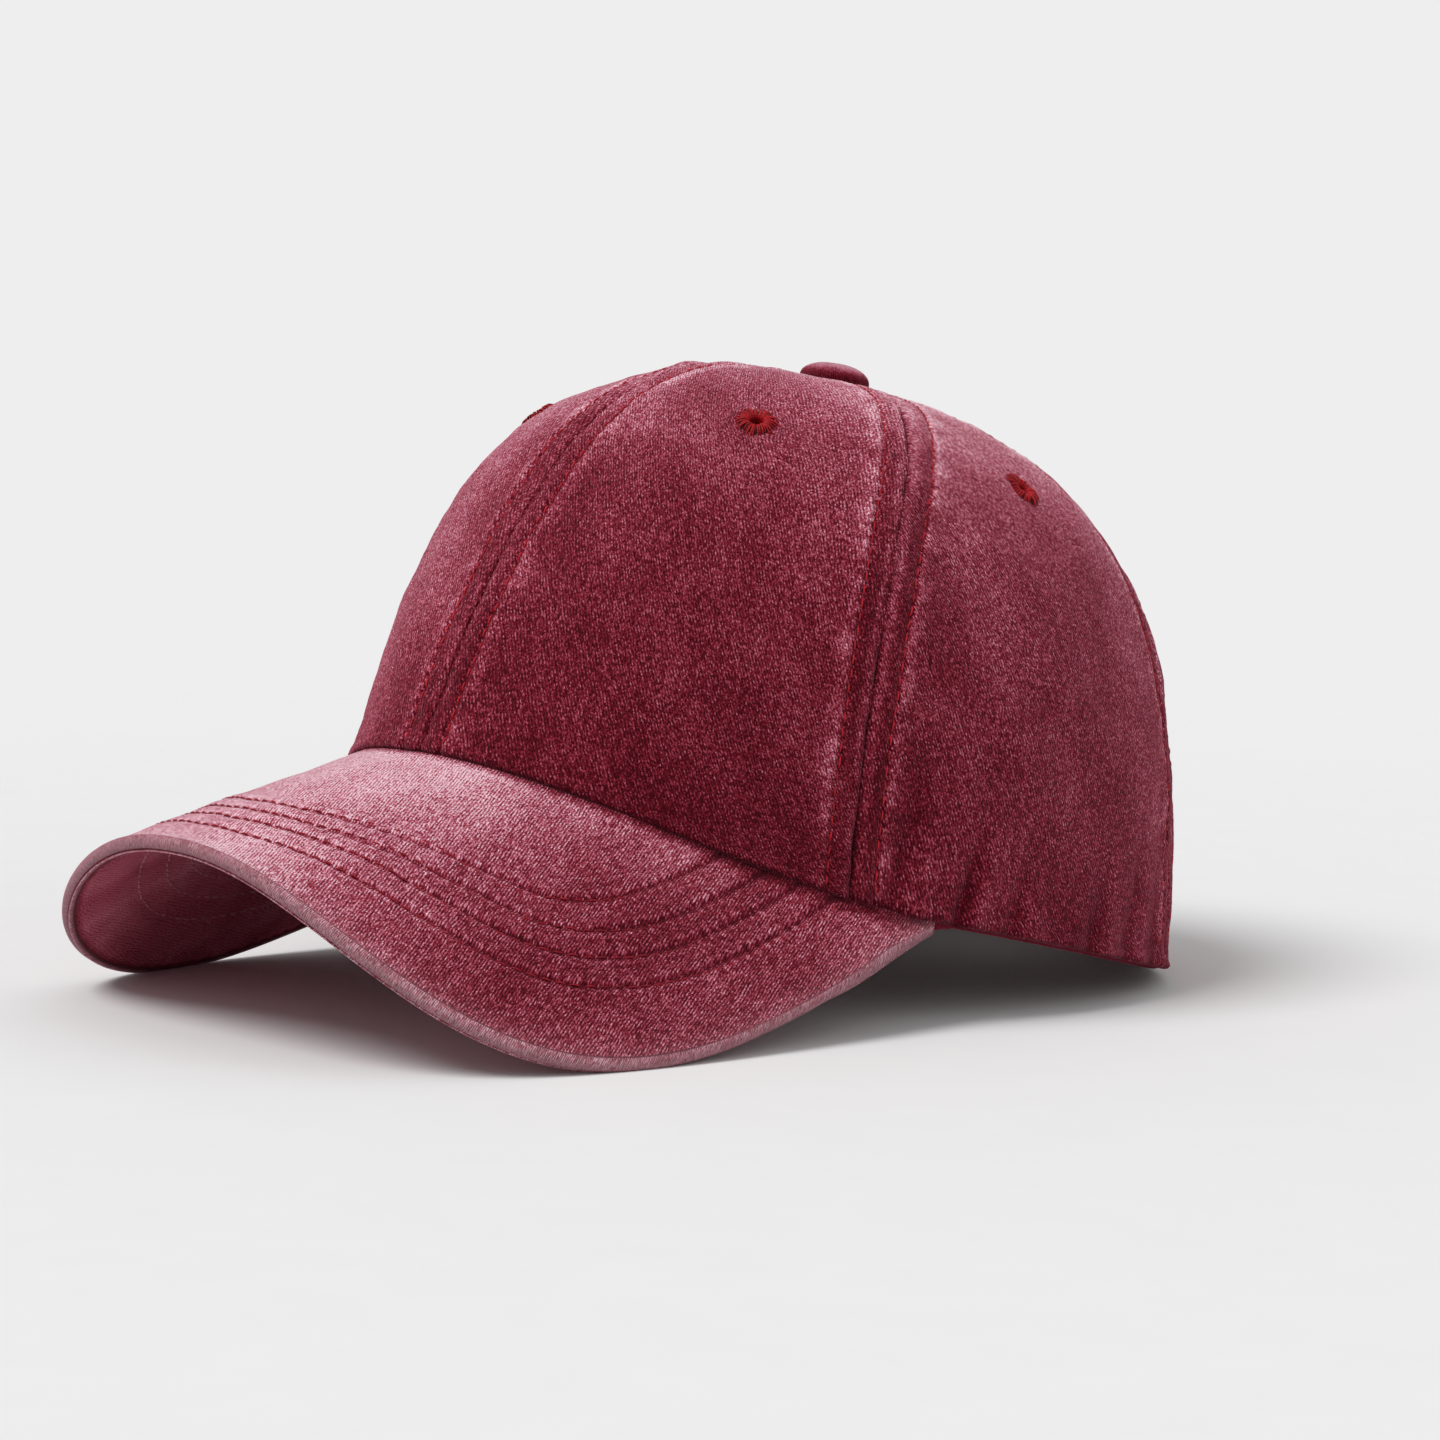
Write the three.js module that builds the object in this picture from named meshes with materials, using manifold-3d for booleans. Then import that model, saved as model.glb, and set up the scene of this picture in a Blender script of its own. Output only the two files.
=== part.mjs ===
// Ponytail baseball cap: six cotton panels, a curved peak, a sweatband, a top button, six sewn eyelets
// and a back strap across the foot of the ponytail slit.
// Millimetres, +Z up. The peak points to -Y and the wearer's left is +X. The cap lies as it would on a
// table: on the two low edges of its peak and on the back of its hem, each pressed flat there.

import * as THREE from 'three';
import { mergeVertices } from 'three/addons/utils/BufferGeometryUtils.js';
import Module from 'manifold-3d';

const wasm = await Module();
wasm.setup();

// Driving sizes of the crown
const hemLength = 201.6; // head opening, front to back
const hemWidth = 170.2; // head opening, side to side
const hemEgg = 0.226; // how much narrower the opening is in front than behind, as a share
const hemBlunt = 0.051; // how much blunter it is at both ends than an ellipse, as a share
const crownHeight = 116.1; // hem at the back to the top of the crown
const crownTopBack = 4.6; // how far the top lies behind the middle of the opening
const clothWall = 1.6; // twill with its backing and tape
const seamGap = 0.3; // between two panels, at the bottom of the seam valley
const fitGap = 0.3; // between any two sewn pieces
const hemSag = 2.9; // how far the hem dips at the sides, below its back
const hemSagAngle = 125; // where it dips most, in degrees round from the front

// Seams between the panels, in degrees round from the front
const centreSeamAtHem = 3.6; // the front seam's foot, which washing has pulled to the left
const frontSeamAtHem = 68.7;
const frontSeamSwing = -13.3; // per share of the way up
const frontSeamSwingBack = 24.8; // per share squared
const backSeamAngle = 128.5;

// Eyelets, in degrees round from the front and as a share of the way up
const frontEyelet = { around: 43.1, up: 0.569 };
const sideEyelet = { around: 95.6, up: 0.686 };
const backEyelet = { around: 151, up: 0.68 };

// The raised flanks of each seam, where its allowance is folded under and topstitched
const flankWidth = 6.2;
const flankRise = 0.7;
const valleyWidth = 1.4;

// Peak
const peakReach = 56.6; // from the front seam to the front edge
const peakWidth = 167.8;
const peakThick = 3.6;
const peakRimRound = 0.8;
const peakRise = 13.7; // height of its top at the front seam, above the back of the hem
const peakSlope = 0.477; // how it falls forwards
const peakDroop = 63.1; // how far its top drops at the sides of the opening
const peakDroopPower = 2.15;
const peakEndAngle = 80.35; // where it ends on the hem, in degrees round from the front
const peakFullSlant = 4; // how many thicknesses wide it is where its rim is square to its top
const peakEndThick = 1.5; // its thickness at each end, where its board has stopped
const peakTaperFrom = 0.8; // share of the way round to its end where it starts to thin

// Sweatband
const bandHeight = 29;
const bandThick = 1.2;
const bandShows = 0.5; // how far it hangs below the hem at the sides
const bandHidden = 0.8; // how far it stays above the hem at the back
const bandGap = 0.5; // between it and the panels
const bandTurnUp = 0.03; // share of the way from the peak's end to the back where it has come up
const bandTuck = [0.4, 0.8]; // shares between which it goes up inside the hem

// Ponytail slit in the back seam, and the strap across its foot
const slitWidth = 48;
const slitTop = 100; // height of its upper end above the back of the hem
const strapLength = 92;
const strapHeight = 27;
const strapThick = 1.8;
const strapLift = 1.5; // from the hem to the strap's lower edge

// Top button
const buttonDiameter = 16.4;
const buttonHeight = 5;
const shankDiameter = 4.8;
const buttonFootDiameter = 9;
const buttonFootThick = 1;

// Eyelets
const eyeletDiameter = 10;
const eyeletHole = 3;
const eyeletThick = 0.9;
const eyeletCollar = 1.2; // wall of its collar, where it passes through the panel
const eyeletFootDiameter = 7.4;

// Resting
const restFlat = 0.5; // how much of the peak's edges and of the hem is pressed flat

// How finely the cloth is faceted
const panelRows = 13;
const frontColumns = 9;
const sideColumns = 7;
const backColumns = 6;
const eyeletSides = 12;
const buttonSides = 24;

// Meridians of the crown at four places round it. Each is one cubic curve from the hem to the top:
// lean is how far its lower handle stands out from the hem, as a share of half the hem's width, rise is
// that handle's height as a share of the crown's height, and reach is the length of the flat handle at
// the top as a share of the way from the top to the hem.
const meridians = [
  { place: 'front', lean: -0.263, rise: 0.925, reach: 0.498 },
  { place: 'front side', lean: 0.079, rise: 0.516, reach: 0.918 },
  { place: 'back side', lean: -0.044, rise: 0.29, reach: 0.959 },
  { place: 'back', lean: 0.011, rise: 0.558, reach: 0.842 },
];

// Soft dents in the crown where the cloth has sunk: where they lie, as degrees round and share of the
// way up, their half widths in the same terms, and their depth as a share of the crown's height.
const dents = [
  { name: 'beside the front seam, left', around: 22, up: 0.72, wide: 14, tall: 0.13, depth: 0.012 },
  { name: 'beside the front seam, right', around: -24, up: 0.74, wide: 14, tall: 0.13, depth: 0.014 },
  { name: 'left side over the hem', around: 97, up: 0.2, wide: 12, tall: 0.12, depth: 0.01 },
  { name: 'right side over the hem', around: -92, up: 0.24, wide: 14, tall: 0.13, depth: 0.01 },
];

// Outline of the peak, seen from above, as two cubic curves: nose to widest place, then to the hem.
// Each share is of the named size beside it.
const peakOutline = {
  noseHandle: 0.639, // of half the peak's width
  frontHandle: 1.126, // of the peak's reach
  widestPlace: 0.662, // of half the hem's length, ahead of the middle
  backHandle: 0.474, // of the peak's reach
  endHandle: 0.34, // of the peak's reach
};

const halfLength = hemLength / 2;
const halfWidth = hemWidth / 2;
const radians = THREE.MathUtils.degToRad;
const seamValley = seamGap / 2;

// Smooth value between the four meridians, the same on both sides of the cap
function aroundCap(column, angle) {
  const v = meridians.map((row) => row[column]);
  let sum = 0;
  for (let k = 0; k < v.length; k += 1) {
    const ends = 0.5 * (v[0] + v[3] * (-1) ** k);
    const weight = k === 0 || k === 3 ? 1 / 3 : 2 / 3;
    const wave = ends + v[1] * Math.cos((k * Math.PI) / 3) + v[2] * Math.cos((2 * k * Math.PI) / 3);
    sum += weight * wave * Math.cos(k * angle);
  }
  return sum;
}

// Cubic between two values with a slope at the first and none at the second
function ease(from, to, slope, share, span) {
  const u = share;
  const start = 2 * u ** 3 - 3 * u ** 2 + 1;
  const tangent = u ** 3 - 2 * u ** 2 + u;
  return start * from + (1 - start) * to + tangent * slope * span;
}

// The hem seen from above: an oval, a little narrower in front
function hemPlan(angle) {
  const forward = Math.cos(angle);
  const x = halfWidth * Math.sin(angle) * (1 - hemEgg * forward + hemBlunt * forward * forward);
  return new THREE.Vector2(x, -halfLength * forward);
}

function hemOutward(angle) {
  const step = 1e-4;
  const along = hemPlan(angle + step).sub(hemPlan(angle - step)).normalize();
  return new THREE.Vector2(along.y, -along.x);
}

function peakTop(x, y) {
  return peakRise + peakSlope * (y + halfLength) - peakDroop * Math.abs(x / halfWidth) ** peakDroopPower;
}

// Height of the hem: it sits on the peak in front, dips at the sides and comes up to zero at the back
function hemHeight(angle) {
  const turn = Math.abs(Math.atan2(Math.sin(angle), Math.cos(angle)));
  const end = radians(peakEndAngle);
  const sagAt = radians(hemSagAngle);
  const onPeak = (a) => peakTop(...hemPlan(a).toArray()) + fitGap;
  if (turn <= end) return onPeak(turn);
  if (turn <= sagAt) {
    const step = 1e-3;
    const slope = (onPeak(end) - onPeak(end - step)) / step / 2;
    return ease(onPeak(end), -hemSag, slope, (turn - end) / (sagAt - end), sagAt - end);
  }
  return ease(-hemSag, 0, 0, (turn - sagAt) / (Math.PI - sagAt), Math.PI - sagAt);
}

function dentDepth(angle, share) {
  const turn = Math.atan2(Math.sin(angle), Math.cos(angle));
  return dents.reduce((sum, dent) => {
    const across = (turn - radians(dent.around)) / radians(dent.wide);
    const up = (share - dent.up) / dent.tall;
    return sum + dent.depth * crownHeight * Math.exp(-across * across - up * up);
  }, 0);
}

// A point of the crown's outside, at an angle round it and a share of the way up its meridian
function crownPoint(angle, share) {
  const hem = hemPlan(angle);
  const top = new THREE.Vector2(0, crownTopBack);
  const outward = hem.clone().sub(top);
  const distance = outward.length();
  outward.divideScalar(distance);
  const hemZ = hemHeight(angle);
  const rise = crownHeight - hemZ;
  const heights = [hemZ, hemZ + aroundCap('rise', angle) * rise, crownHeight, crownHeight];
  const reaches = [distance, distance + aroundCap('lean', angle) * halfWidth];
  reaches.push(aroundCap('reach', angle) * distance, 0);
  const back = 1 - share;
  const weights = [back ** 3, 3 * back * back * share, 3 * back * share * share, share ** 3];
  const mix = (values) => values.reduce((sum, value, i) => sum + value * weights[i], 0);
  const radius = mix(reaches) - dentDepth(angle, share);
  return new THREE.Vector3(outward.x * radius, crownTopBack + outward.y * radius, mix(heights));
}

// How far the crown's outside moves, in mm, for each radian round it
function crownSpeed(angle, share) {
  const step = 1e-3;
  return crownPoint(angle + step, share).distanceTo(crownPoint(angle - step, share)) / (2 * step);
}

function crownNormal(angle, share) {
  const step = 1e-3;
  const low = Math.max(share - step, 0);
  const round = crownPoint(angle + step, share).sub(crownPoint(angle - step, share));
  const up = crownPoint(angle, low + 2 * step).sub(crownPoint(angle, low));
  return round.cross(up).normalize();
}

// A point stood off from the crown's outside. At the hem it moves level, so that the hem stays even.
function crownOffset(angle, share, offset) {
  if (share > 0) return crownPoint(angle, share).addScaledVector(crownNormal(angle, share), offset);
  const plan = hemPlan(angle).addScaledVector(hemOutward(angle), offset);
  const onPeak = Math.abs(angle) <= radians(peakEndAngle);
  const height = onPeak ? peakTop(plan.x, plan.y) + fitGap : hemHeight(angle);
  return new THREE.Vector3(plan.x, plan.y, height);
}

// Share of the way up a meridian at a height above its hem
function shareAtHeight(angle, height) {
  let low = 0;
  let high = 1;
  for (let i = 0; i < 40; i += 1) {
    const middle = (low + high) / 2;
    if (crownPoint(angle, middle).z - hemHeight(angle) < height) low = middle;
    else high = middle;
  }
  return low;
}

const slitTopShare = shareAtHeight(Math.PI, slitTop);

// Half the opening in the back seam: the slit's half width below, the seam's own gap above it
function backEdge(share) {
  const up = Math.min(share / slitTopShare, 1);
  return Math.max((slitWidth / 2) * (1 - up * up), seamValley);
}

// The seams. Each gives its angle at a share of the way up, and how far a panel's edge stays off it.
const shut = () => seamValley;
const frontCentre = { angle: (share) => radians(centreSeamAtHem * (1 - share)), standOff: shut };

function sideSeams(side) {
  const swing = (share) => frontSeamAtHem + frontSeamSwing * share + frontSeamSwingBack * share * share;
  return {
    front: { angle: (share) => side * radians(swing(share)), standOff: shut },
    back: { angle: () => side * radians(backSeamAngle), standOff: shut },
    backCentre: { angle: () => side * Math.PI, standOff: backEdge },
  };
}

// The three panels of one side, 1 for the wearer's left and -1 for the right, each between two seams
function sideGores(side, word) {
  const seams = sideSeams(side);
  const gore = (name, ahead, behind, columns, eyelet) => ({
    name: `${name}_${word}`,
    from: side > 0 ? ahead : behind,
    to: side > 0 ? behind : ahead,
    columns,
    eyelet: { around: side * radians(eyelet.around), up: eyelet.up },
  });
  return [
    gore('front', frontCentre, seams.front, frontColumns, frontEyelet),
    gore('side', seams.front, seams.back, sideColumns, sideEyelet),
    gore('back', seams.back, seams.backCentre, backColumns, backEyelet),
  ];
}

const gores = [...sideGores(1, 'left'), ...sideGores(-1, 'right')];

// Columns of a panel at one height: each has its angle and how far its seam flank is raised there
function panelColumns(gore, share) {
  const start = gore.from.angle(share);
  const end = gore.to.angle(share);
  const first = start + gore.from.standOff(share) / crownSpeed(start, share);
  const last = end - gore.to.standOff(share) / crownSpeed(end, share);
  const speed = crownSpeed((first + last) / 2, share);
  const width = (last - first) * speed;
  const squeeze = Math.min(1, (0.4 * width) / flankWidth);
  const rise = flankRise * squeeze;
  const flank = [
    { at: 0, rise: 0 },
    { at: valleyWidth * squeeze, rise },
    { at: (flankWidth - valleyWidth) * squeeze, rise },
    { at: flankWidth * squeeze, rise: 0 },
  ];
  const middle = [];
  const inner = width - 2 * flankWidth * squeeze;
  for (let i = 1; i < gore.columns; i += 1) {
    middle.push({ at: flankWidth * squeeze + (inner * i) / gore.columns, rise: 0 });
  }
  const mirrored = flank.map((column) => ({ at: width - column.at, rise: column.rise })).reverse();
  return [...flank, ...middle, ...mirrored].map((column) => ({
    angle: first + column.at / speed,
    rise: column.rise,
  }));
}

// The angles of all columns at the hem, right to left, which the peak and the sweatband share
const hemAngles = gores
  .flatMap((gore) => panelColumns(gore, 0).map((column) => column.angle))
  .sort((a, b) => a - b);

function geometryFrom(points, faces) {
  const geometry = new THREE.BufferGeometry();
  geometry.setAttribute('position', new THREE.Float32BufferAttribute(points.flatMap((p) => p.toArray()), 3));
  geometry.setIndex(faces.flat());
  return geometry;
}

// A closed body between two sheets of points with the same rows and columns
function slab(outside, inside) {
  const rows = outside.length;
  const columns = outside[0].length;
  const points = [...outside.flat(), ...inside.flat()];
  const out = (row, column) => row * columns + column;
  const into = (row, column) => rows * columns + out(row, column);
  const faces = [];
  const quad = (a, b, c, d) => faces.push([a, b, c], [a, c, d]);
  for (let i = 0; i + 1 < rows; i += 1) {
    for (let j = 0; j + 1 < columns; j += 1) {
      quad(out(i, j), out(i, j + 1), out(i + 1, j + 1), out(i + 1, j));
      quad(into(i, j), into(i + 1, j), into(i + 1, j + 1), into(i, j + 1));
    }
    quad(out(i, 0), out(i + 1, 0), into(i + 1, 0), into(i, 0));
    quad(out(i + 1, columns - 1), out(i, columns - 1), into(i, columns - 1), into(i + 1, columns - 1));
  }
  for (let j = 0; j + 1 < columns; j += 1) {
    quad(out(0, j + 1), out(0, j), into(0, j), into(0, j + 1));
    quad(out(rows - 1, j), out(rows - 1, j + 1), into(rows - 1, j + 1), into(rows - 1, j));
  }
  return geometryFrom(points, faces);
}

// A closed body lofted through rings of points, with a fan over each end
function loft(rings) {
  const count = rings[0].length;
  const faces = [];
  for (let i = 0; i + 1 < rings.length; i += 1) {
    for (let j = 0; j < count; j += 1) {
      const next = (j + 1) % count;
      const corners = [i * count + j, i * count + next, (i + 1) * count + next, (i + 1) * count + j];
      faces.push([corners[0], corners[1], corners[2]], [corners[0], corners[2], corners[3]]);
    }
  }
  const lastRing = (rings.length - 1) * count;
  for (let j = 1; j + 1 < count; j += 1) {
    faces.push([0, j + 1, j], [lastRing, lastRing + j, lastRing + j + 1]);
  }
  return geometryFrom(rings.flat(), faces);
}

// Joins and cuts
function toManifold(geometry) {
  const bare = geometry.clone();
  bare.deleteAttribute('normal');
  bare.deleteAttribute('uv');
  const merged = mergeVertices(bare, 1e-5);
  const vertProperties = new Float32Array(merged.attributes.position.array);
  const triVerts = new Uint32Array(merged.index.array);
  return new wasm.Manifold(new wasm.Mesh({ numProp: 3, vertProperties, triVerts }));
}

function cut(geometry, tool) {
  const mesh = toManifold(geometry).subtract(toManifold(tool)).getMesh();
  const result = new THREE.BufferGeometry();
  result.setAttribute('position', new THREE.Float32BufferAttribute(mesh.vertProperties, 3));
  result.setIndex(Array.from(mesh.triVerts));
  return result;
}

// Share of the meridian at which the panels end round the button's shank
function topShare(angle) {
  const distance = hemPlan(angle).distanceTo(new THREE.Vector2(0, crownTopBack));
  const holeRadius = shankDiameter / 2 + fitGap;
  return 1 - holeRadius / (3 * aroundCap('reach', angle) * distance);
}

// One panel, before its eyelet hole
function panelShell(gore) {
  const outside = [];
  const inside = [];
  for (let row = 0; row <= panelRows; row += 1) {
    const up = row / panelRows;
    const columns = panelColumns(gore, up * topShare(gore.from.angle(1)));
    const shares = columns.map(({ angle }) => up * topShare(angle));
    outside.push(columns.map(({ angle, rise }, i) => crownOffset(angle, shares[i], rise)));
    inside.push(columns.map(({ angle }, i) => crownOffset(angle, shares[i], -clothWall)));
  }
  return slab(outside, inside);
}

// The turn that stands a lathed piece, made along Z, on the crown at an eyelet
function eyeletPlace(gore) {
  const { around, up } = gore.eyelet;
  const normal = crownNormal(around, up);
  const turn = new THREE.Quaternion().setFromUnitVectors(new THREE.Vector3(0, 0, 1), normal);
  return new THREE.Matrix4().compose(crownPoint(around, up), turn, new THREE.Vector3(1, 1, 1));
}

function panel(gore) {
  const radius = eyeletHole / 2 + eyeletCollar + fitGap;
  const drill = new THREE.CylinderGeometry(radius, radius, 8 * clothWall, eyeletSides);
  drill.rotateX(Math.PI / 2).applyMatrix4(eyeletPlace(gore));
  return cut(panelShell(gore), drill);
}

// A sewn ring with a face outside the panel, a collar through it and a smaller foot inside
function eyelet(gore) {
  const hole = eyeletHole / 2;
  const collar = hole + eyeletCollar;
  const face = eyeletDiameter / 2;
  const foot = eyeletFootDiameter / 2;
  const under = -clothWall - 2 * fitGap;
  const profile = [
    [hole, under - eyeletThick],
    [foot, under - eyeletThick],
    [foot, under],
    [collar, under],
    [collar, fitGap],
    [face, fitGap],
    [face - eyeletThick / 2, fitGap + eyeletThick],
    [hole, fitGap + eyeletThick],
    [hole, under - eyeletThick],
  ].map(([radius, height]) => new THREE.Vector2(radius, height));
  const ring = new THREE.LatheGeometry(profile, eyeletSides);
  return ring.rotateX(Math.PI / 2).applyMatrix4(eyeletPlace(gore));
}

// The peak

function peakCurves() {
  const wide = peakWidth / 2;
  const nose = new THREE.Vector2(0, -halfLength - peakReach);
  const widest = new THREE.Vector2(wide, -peakOutline.widestPlace * halfLength);
  const end = hemPlan(radians(peakEndAngle));
  const noseHandle = nose.clone().add(new THREE.Vector2(peakOutline.noseHandle * wide, 0));
  const frontHandle = widest.clone().sub(new THREE.Vector2(0, peakOutline.frontHandle * peakReach));
  const backHandle = widest.clone().add(new THREE.Vector2(0, peakOutline.backHandle * peakReach));
  const inward = widest.clone().sub(end).normalize();
  const endHandle = end.clone().addScaledVector(inward, peakOutline.endHandle * peakReach);
  const path = new THREE.CurvePath();
  path.add(new THREE.CubicBezierCurve(nose, noseHandle, frontHandle, widest));
  path.add(new THREE.CubicBezierCurve(widest, backHandle, endHandle, end));
  return path;
}

function peakNormal(x, y) {
  const droop = (peakDroop * peakDroopPower) / halfWidth;
  const fall = droop * Math.abs(x / halfWidth) ** (peakDroopPower - 1) * Math.sign(x);
  return new THREE.Vector3(fall, -peakSlope, 1).normalize();
}

// How deep the peak is, measured straight down
function peakDepth(plan) {
  return peakThick / peakNormal(plan.x, plan.y).z;
}

// Share of its full thickness that the peak has at an angle round the hem
function peakTaper(angle) {
  const share = THREE.MathUtils.smoothstep(Math.abs(angle) / radians(peakEndAngle), peakTaperFrom, 1);
  return THREE.MathUtils.lerp(1, peakEndThick / peakThick, share);
}

// A point under the peak's top at a share of its thickness, straight down at the hem (slant 0) and
// square to the top at the rim (slant 1)
function peakPoint(plan, depthShare, slant) {
  const top = new THREE.Vector3(plan.x, plan.y, peakTop(plan.x, plan.y));
  const down = new THREE.Vector3(0, 0, -peakDepth(plan));
  const square = peakNormal(plan.x, plan.y).multiplyScalar(-peakThick);
  return top.addScaledVector(down.lerp(square, slant), depthShare);
}

// One section across the peak, from under the hem to its rim and back along the underside
function peakSection(angle, edge) {
  const side = Math.sign(angle) || 1;
  const hem = hemPlan(angle);
  const inner = hem.clone().addScaledVector(hemOutward(angle), -clothWall);
  const outer = new THREE.Vector2(side * edge.x, edge.y);
  const across = outer.clone().sub(hem);
  const round = Math.min(peakRimRound, across.length() / 4);
  const rimSlant = Math.min(across.length() / (peakFullSlant * peakThick), 1);
  const stations = [0, 0.2, 0.4, 0.6, 0.8].map((share) => ({
    plan: hem.clone().addScaledVector(across, share),
    slant: share * rimSlant,
  }));
  stations.unshift({ plan: inner, slant: 0 });
  stations.push({ plan: outer.clone().addScaledVector(across.normalize(), -round), slant: rimSlant });
  const taper = peakTaper(angle);
  const roundShare = peakRimRound / peakThick;
  const top = stations.map(({ plan }) => peakPoint(plan, 0, 0));
  const rim = [roundShare, 1 - roundShare].map((share) => peakPoint(outer, share * taper, rimSlant));
  const bottom = stations.map(({ plan, slant }) => peakPoint(plan, taper, slant)).reverse();
  return [...top, ...rim, ...bottom];
}

function peak() {
  const end = radians(peakEndAngle);
  const angles = [-end, ...hemAngles.filter((angle) => Math.abs(angle) < end - 0.01), end];
  const path = peakCurves();
  const edgeAt = (angle) => path.getPointAt(Math.min(Math.abs(angle) / end, 1));
  return loft(angles.map((angle) => peakSection(angle, edgeAt(angle))));
}

// The sweatband: an open ring inside the panels, from one side of the slit to the other

// How far it hangs below the hem: down past the peak's edge in front, a little at the sides
function bandFoot(angle) {
  const turn = Math.abs(angle);
  const end = radians(peakEndAngle);
  const plan = hemPlan(Math.min(turn, end));
  const besidePeak = peakDepth(plan) * peakTaper(Math.min(turn, end));
  if (turn <= end) return besidePeak;
  const share = (turn - end) / (Math.PI - end);
  const shows = THREE.MathUtils.lerp(besidePeak, bandShows, Math.min(share / bandTurnUp, 1));
  const hides = THREE.MathUtils.smoothstep(share, ...bandTuck);
  return THREE.MathUtils.lerp(shows, -bandHidden, hides);
}

function sweatband() {
  const outer = -clothWall - bandGap;
  const sheet = (offset) => {
    const foot = hemAngles.map((angle) => {
      const point = crownOffset(angle, 0, offset);
      point.z -= bandFoot(angle);
      return point;
    });
    const upper = [0, 0.5, 1].map((up) =>
      hemAngles.map((angle) => crownOffset(angle, shareAtHeight(angle, up * bandHeight), offset)),
    );
    return [foot, ...upper];
  };
  return slab(sheet(outer), sheet(outer - bandThick));
}

// The strap lies outside both back panels, across the foot of the slit
function strap() {
  const steps = 16;
  const half = strapLength / 2 / crownSpeed(Math.PI, 0);
  const angles = Array.from({ length: steps + 1 }, (_, i) => Math.PI + half * ((2 * i) / steps - 1));
  const near = flankRise + fitGap;
  const sheet = (offset) =>
    [0, 0.5, 1].map((up) =>
      angles.map((angle) => crownOffset(angle, shareAtHeight(angle, strapLift + up * strapHeight), offset)),
    );
  return slab(sheet(near + strapThick), sheet(near));
}

// A domed button with a shank through the panels and a flat foot under them
function button() {
  const radius = buttonDiameter / 2;
  const shank = shankDiameter / 2;
  const foot = buttonFootDiameter / 2;
  const base = flankRise + fitGap / 2;
  const under = -clothWall - 2 * fitGap;
  const profile = [
    [0, under - buttonFootThick],
    [foot, under - buttonFootThick],
    [foot, under],
    [shank, under],
    [shank, base],
    [radius - 1, base],
    [radius, base + 1.2],
  ];
  const domeSteps = 5;
  const domeBase = base + 1.2;
  for (let i = 1; i < domeSteps; i += 1) {
    const turn = (i / domeSteps) * (Math.PI / 2);
    profile.push([radius * Math.cos(turn), domeBase + (buttonHeight - 1.2) * Math.sin(turn)]);
  }
  profile.push([0, base + buttonHeight]);
  const outline = profile.map(([r, z]) => new THREE.Vector2(r, z));
  const shape = new THREE.LatheGeometry(outline, buttonSides).rotateX(Math.PI / 2);
  return shape.translate(0, crownTopBack, crownHeight);
}

// How the cap rests: tilted back until the peak's lowest edge and the back of the hem are level

function lowestAfterTilt(points, tilt) {
  return Math.min(...points.map((p) => p.z * Math.cos(tilt) - p.y * Math.sin(tilt)));
}

function restMatrix(peakShape) {
  const position = peakShape.attributes.position;
  const peakPoints = Array.from({ length: position.count }, (_, i) =>
    new THREE.Vector3().fromBufferAttribute(position, i),
  );
  const hemPoints = hemAngles.map((angle) => crownOffset(angle, 0, 0));
  let low = 0;
  let high = radians(40);
  for (let i = 0; i < 40; i += 1) {
    const middle = (low + high) / 2;
    if (lowestAfterTilt(peakPoints, middle) < lowestAfterTilt(hemPoints, middle)) low = middle;
    else high = middle;
  }
  const drop = lowestAfterTilt(peakPoints, low) + restFlat;
  return new THREE.Matrix4().makeRotationX(-low).premultiply(new THREE.Matrix4().makeTranslation(0, 0, -drop));
}

// Materials

function cloth(colour, roughness) {
  return new THREE.MeshStandardMaterial({ color: colour, roughness, metalness: 0 });
}

const twill = cloth(0x7d3346, 0.9);
const peakTwill = cloth(0x93495a, 0.9);
const thread = cloth(0xb01c34, 0.7);
const bandCotton = cloth(0x5a1a2c, 0.9);

// Assembly

const cap = new THREE.Group();
const peakShape = peak();
const rest = restMatrix(peakShape);
const floorSize = 600;
const floor = new THREE.BoxGeometry(floorSize, floorSize, 20).translate(0, 0, -10);

// Puts one piece in its resting place, pressed flat where it meets the floor
function add(name, geometry, material) {
  const placed = geometry.applyMatrix4(rest);
  placed.computeBoundingBox();
  const shape = placed.boundingBox.min.z < 0 ? cut(placed, floor) : placed;
  const mesh = new THREE.Mesh(shape, material);
  mesh.name = name;
  cap.add(mesh);
}

for (const gore of gores) {
  add(`panel_${gore.name}`, panel(gore), twill);
  add(`eyelet_${gore.name}`, eyelet(gore), thread);
}
add('brim', peakShape, peakTwill);
add('sweatband', sweatband(), bandCotton);
add('back_strap', strap(), twill);
add('top_button', button(), twill);

// The origin is under the middle of the whole cap, on the floor
const middle = new THREE.Box3().setFromObject(cap).getCenter(new THREE.Vector3());
cap.position.set(-middle.x, -middle.y, 0);

export default cap;
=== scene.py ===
import math

import bpy
import numpy as np
from mathutils import Matrix, Vector


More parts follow.
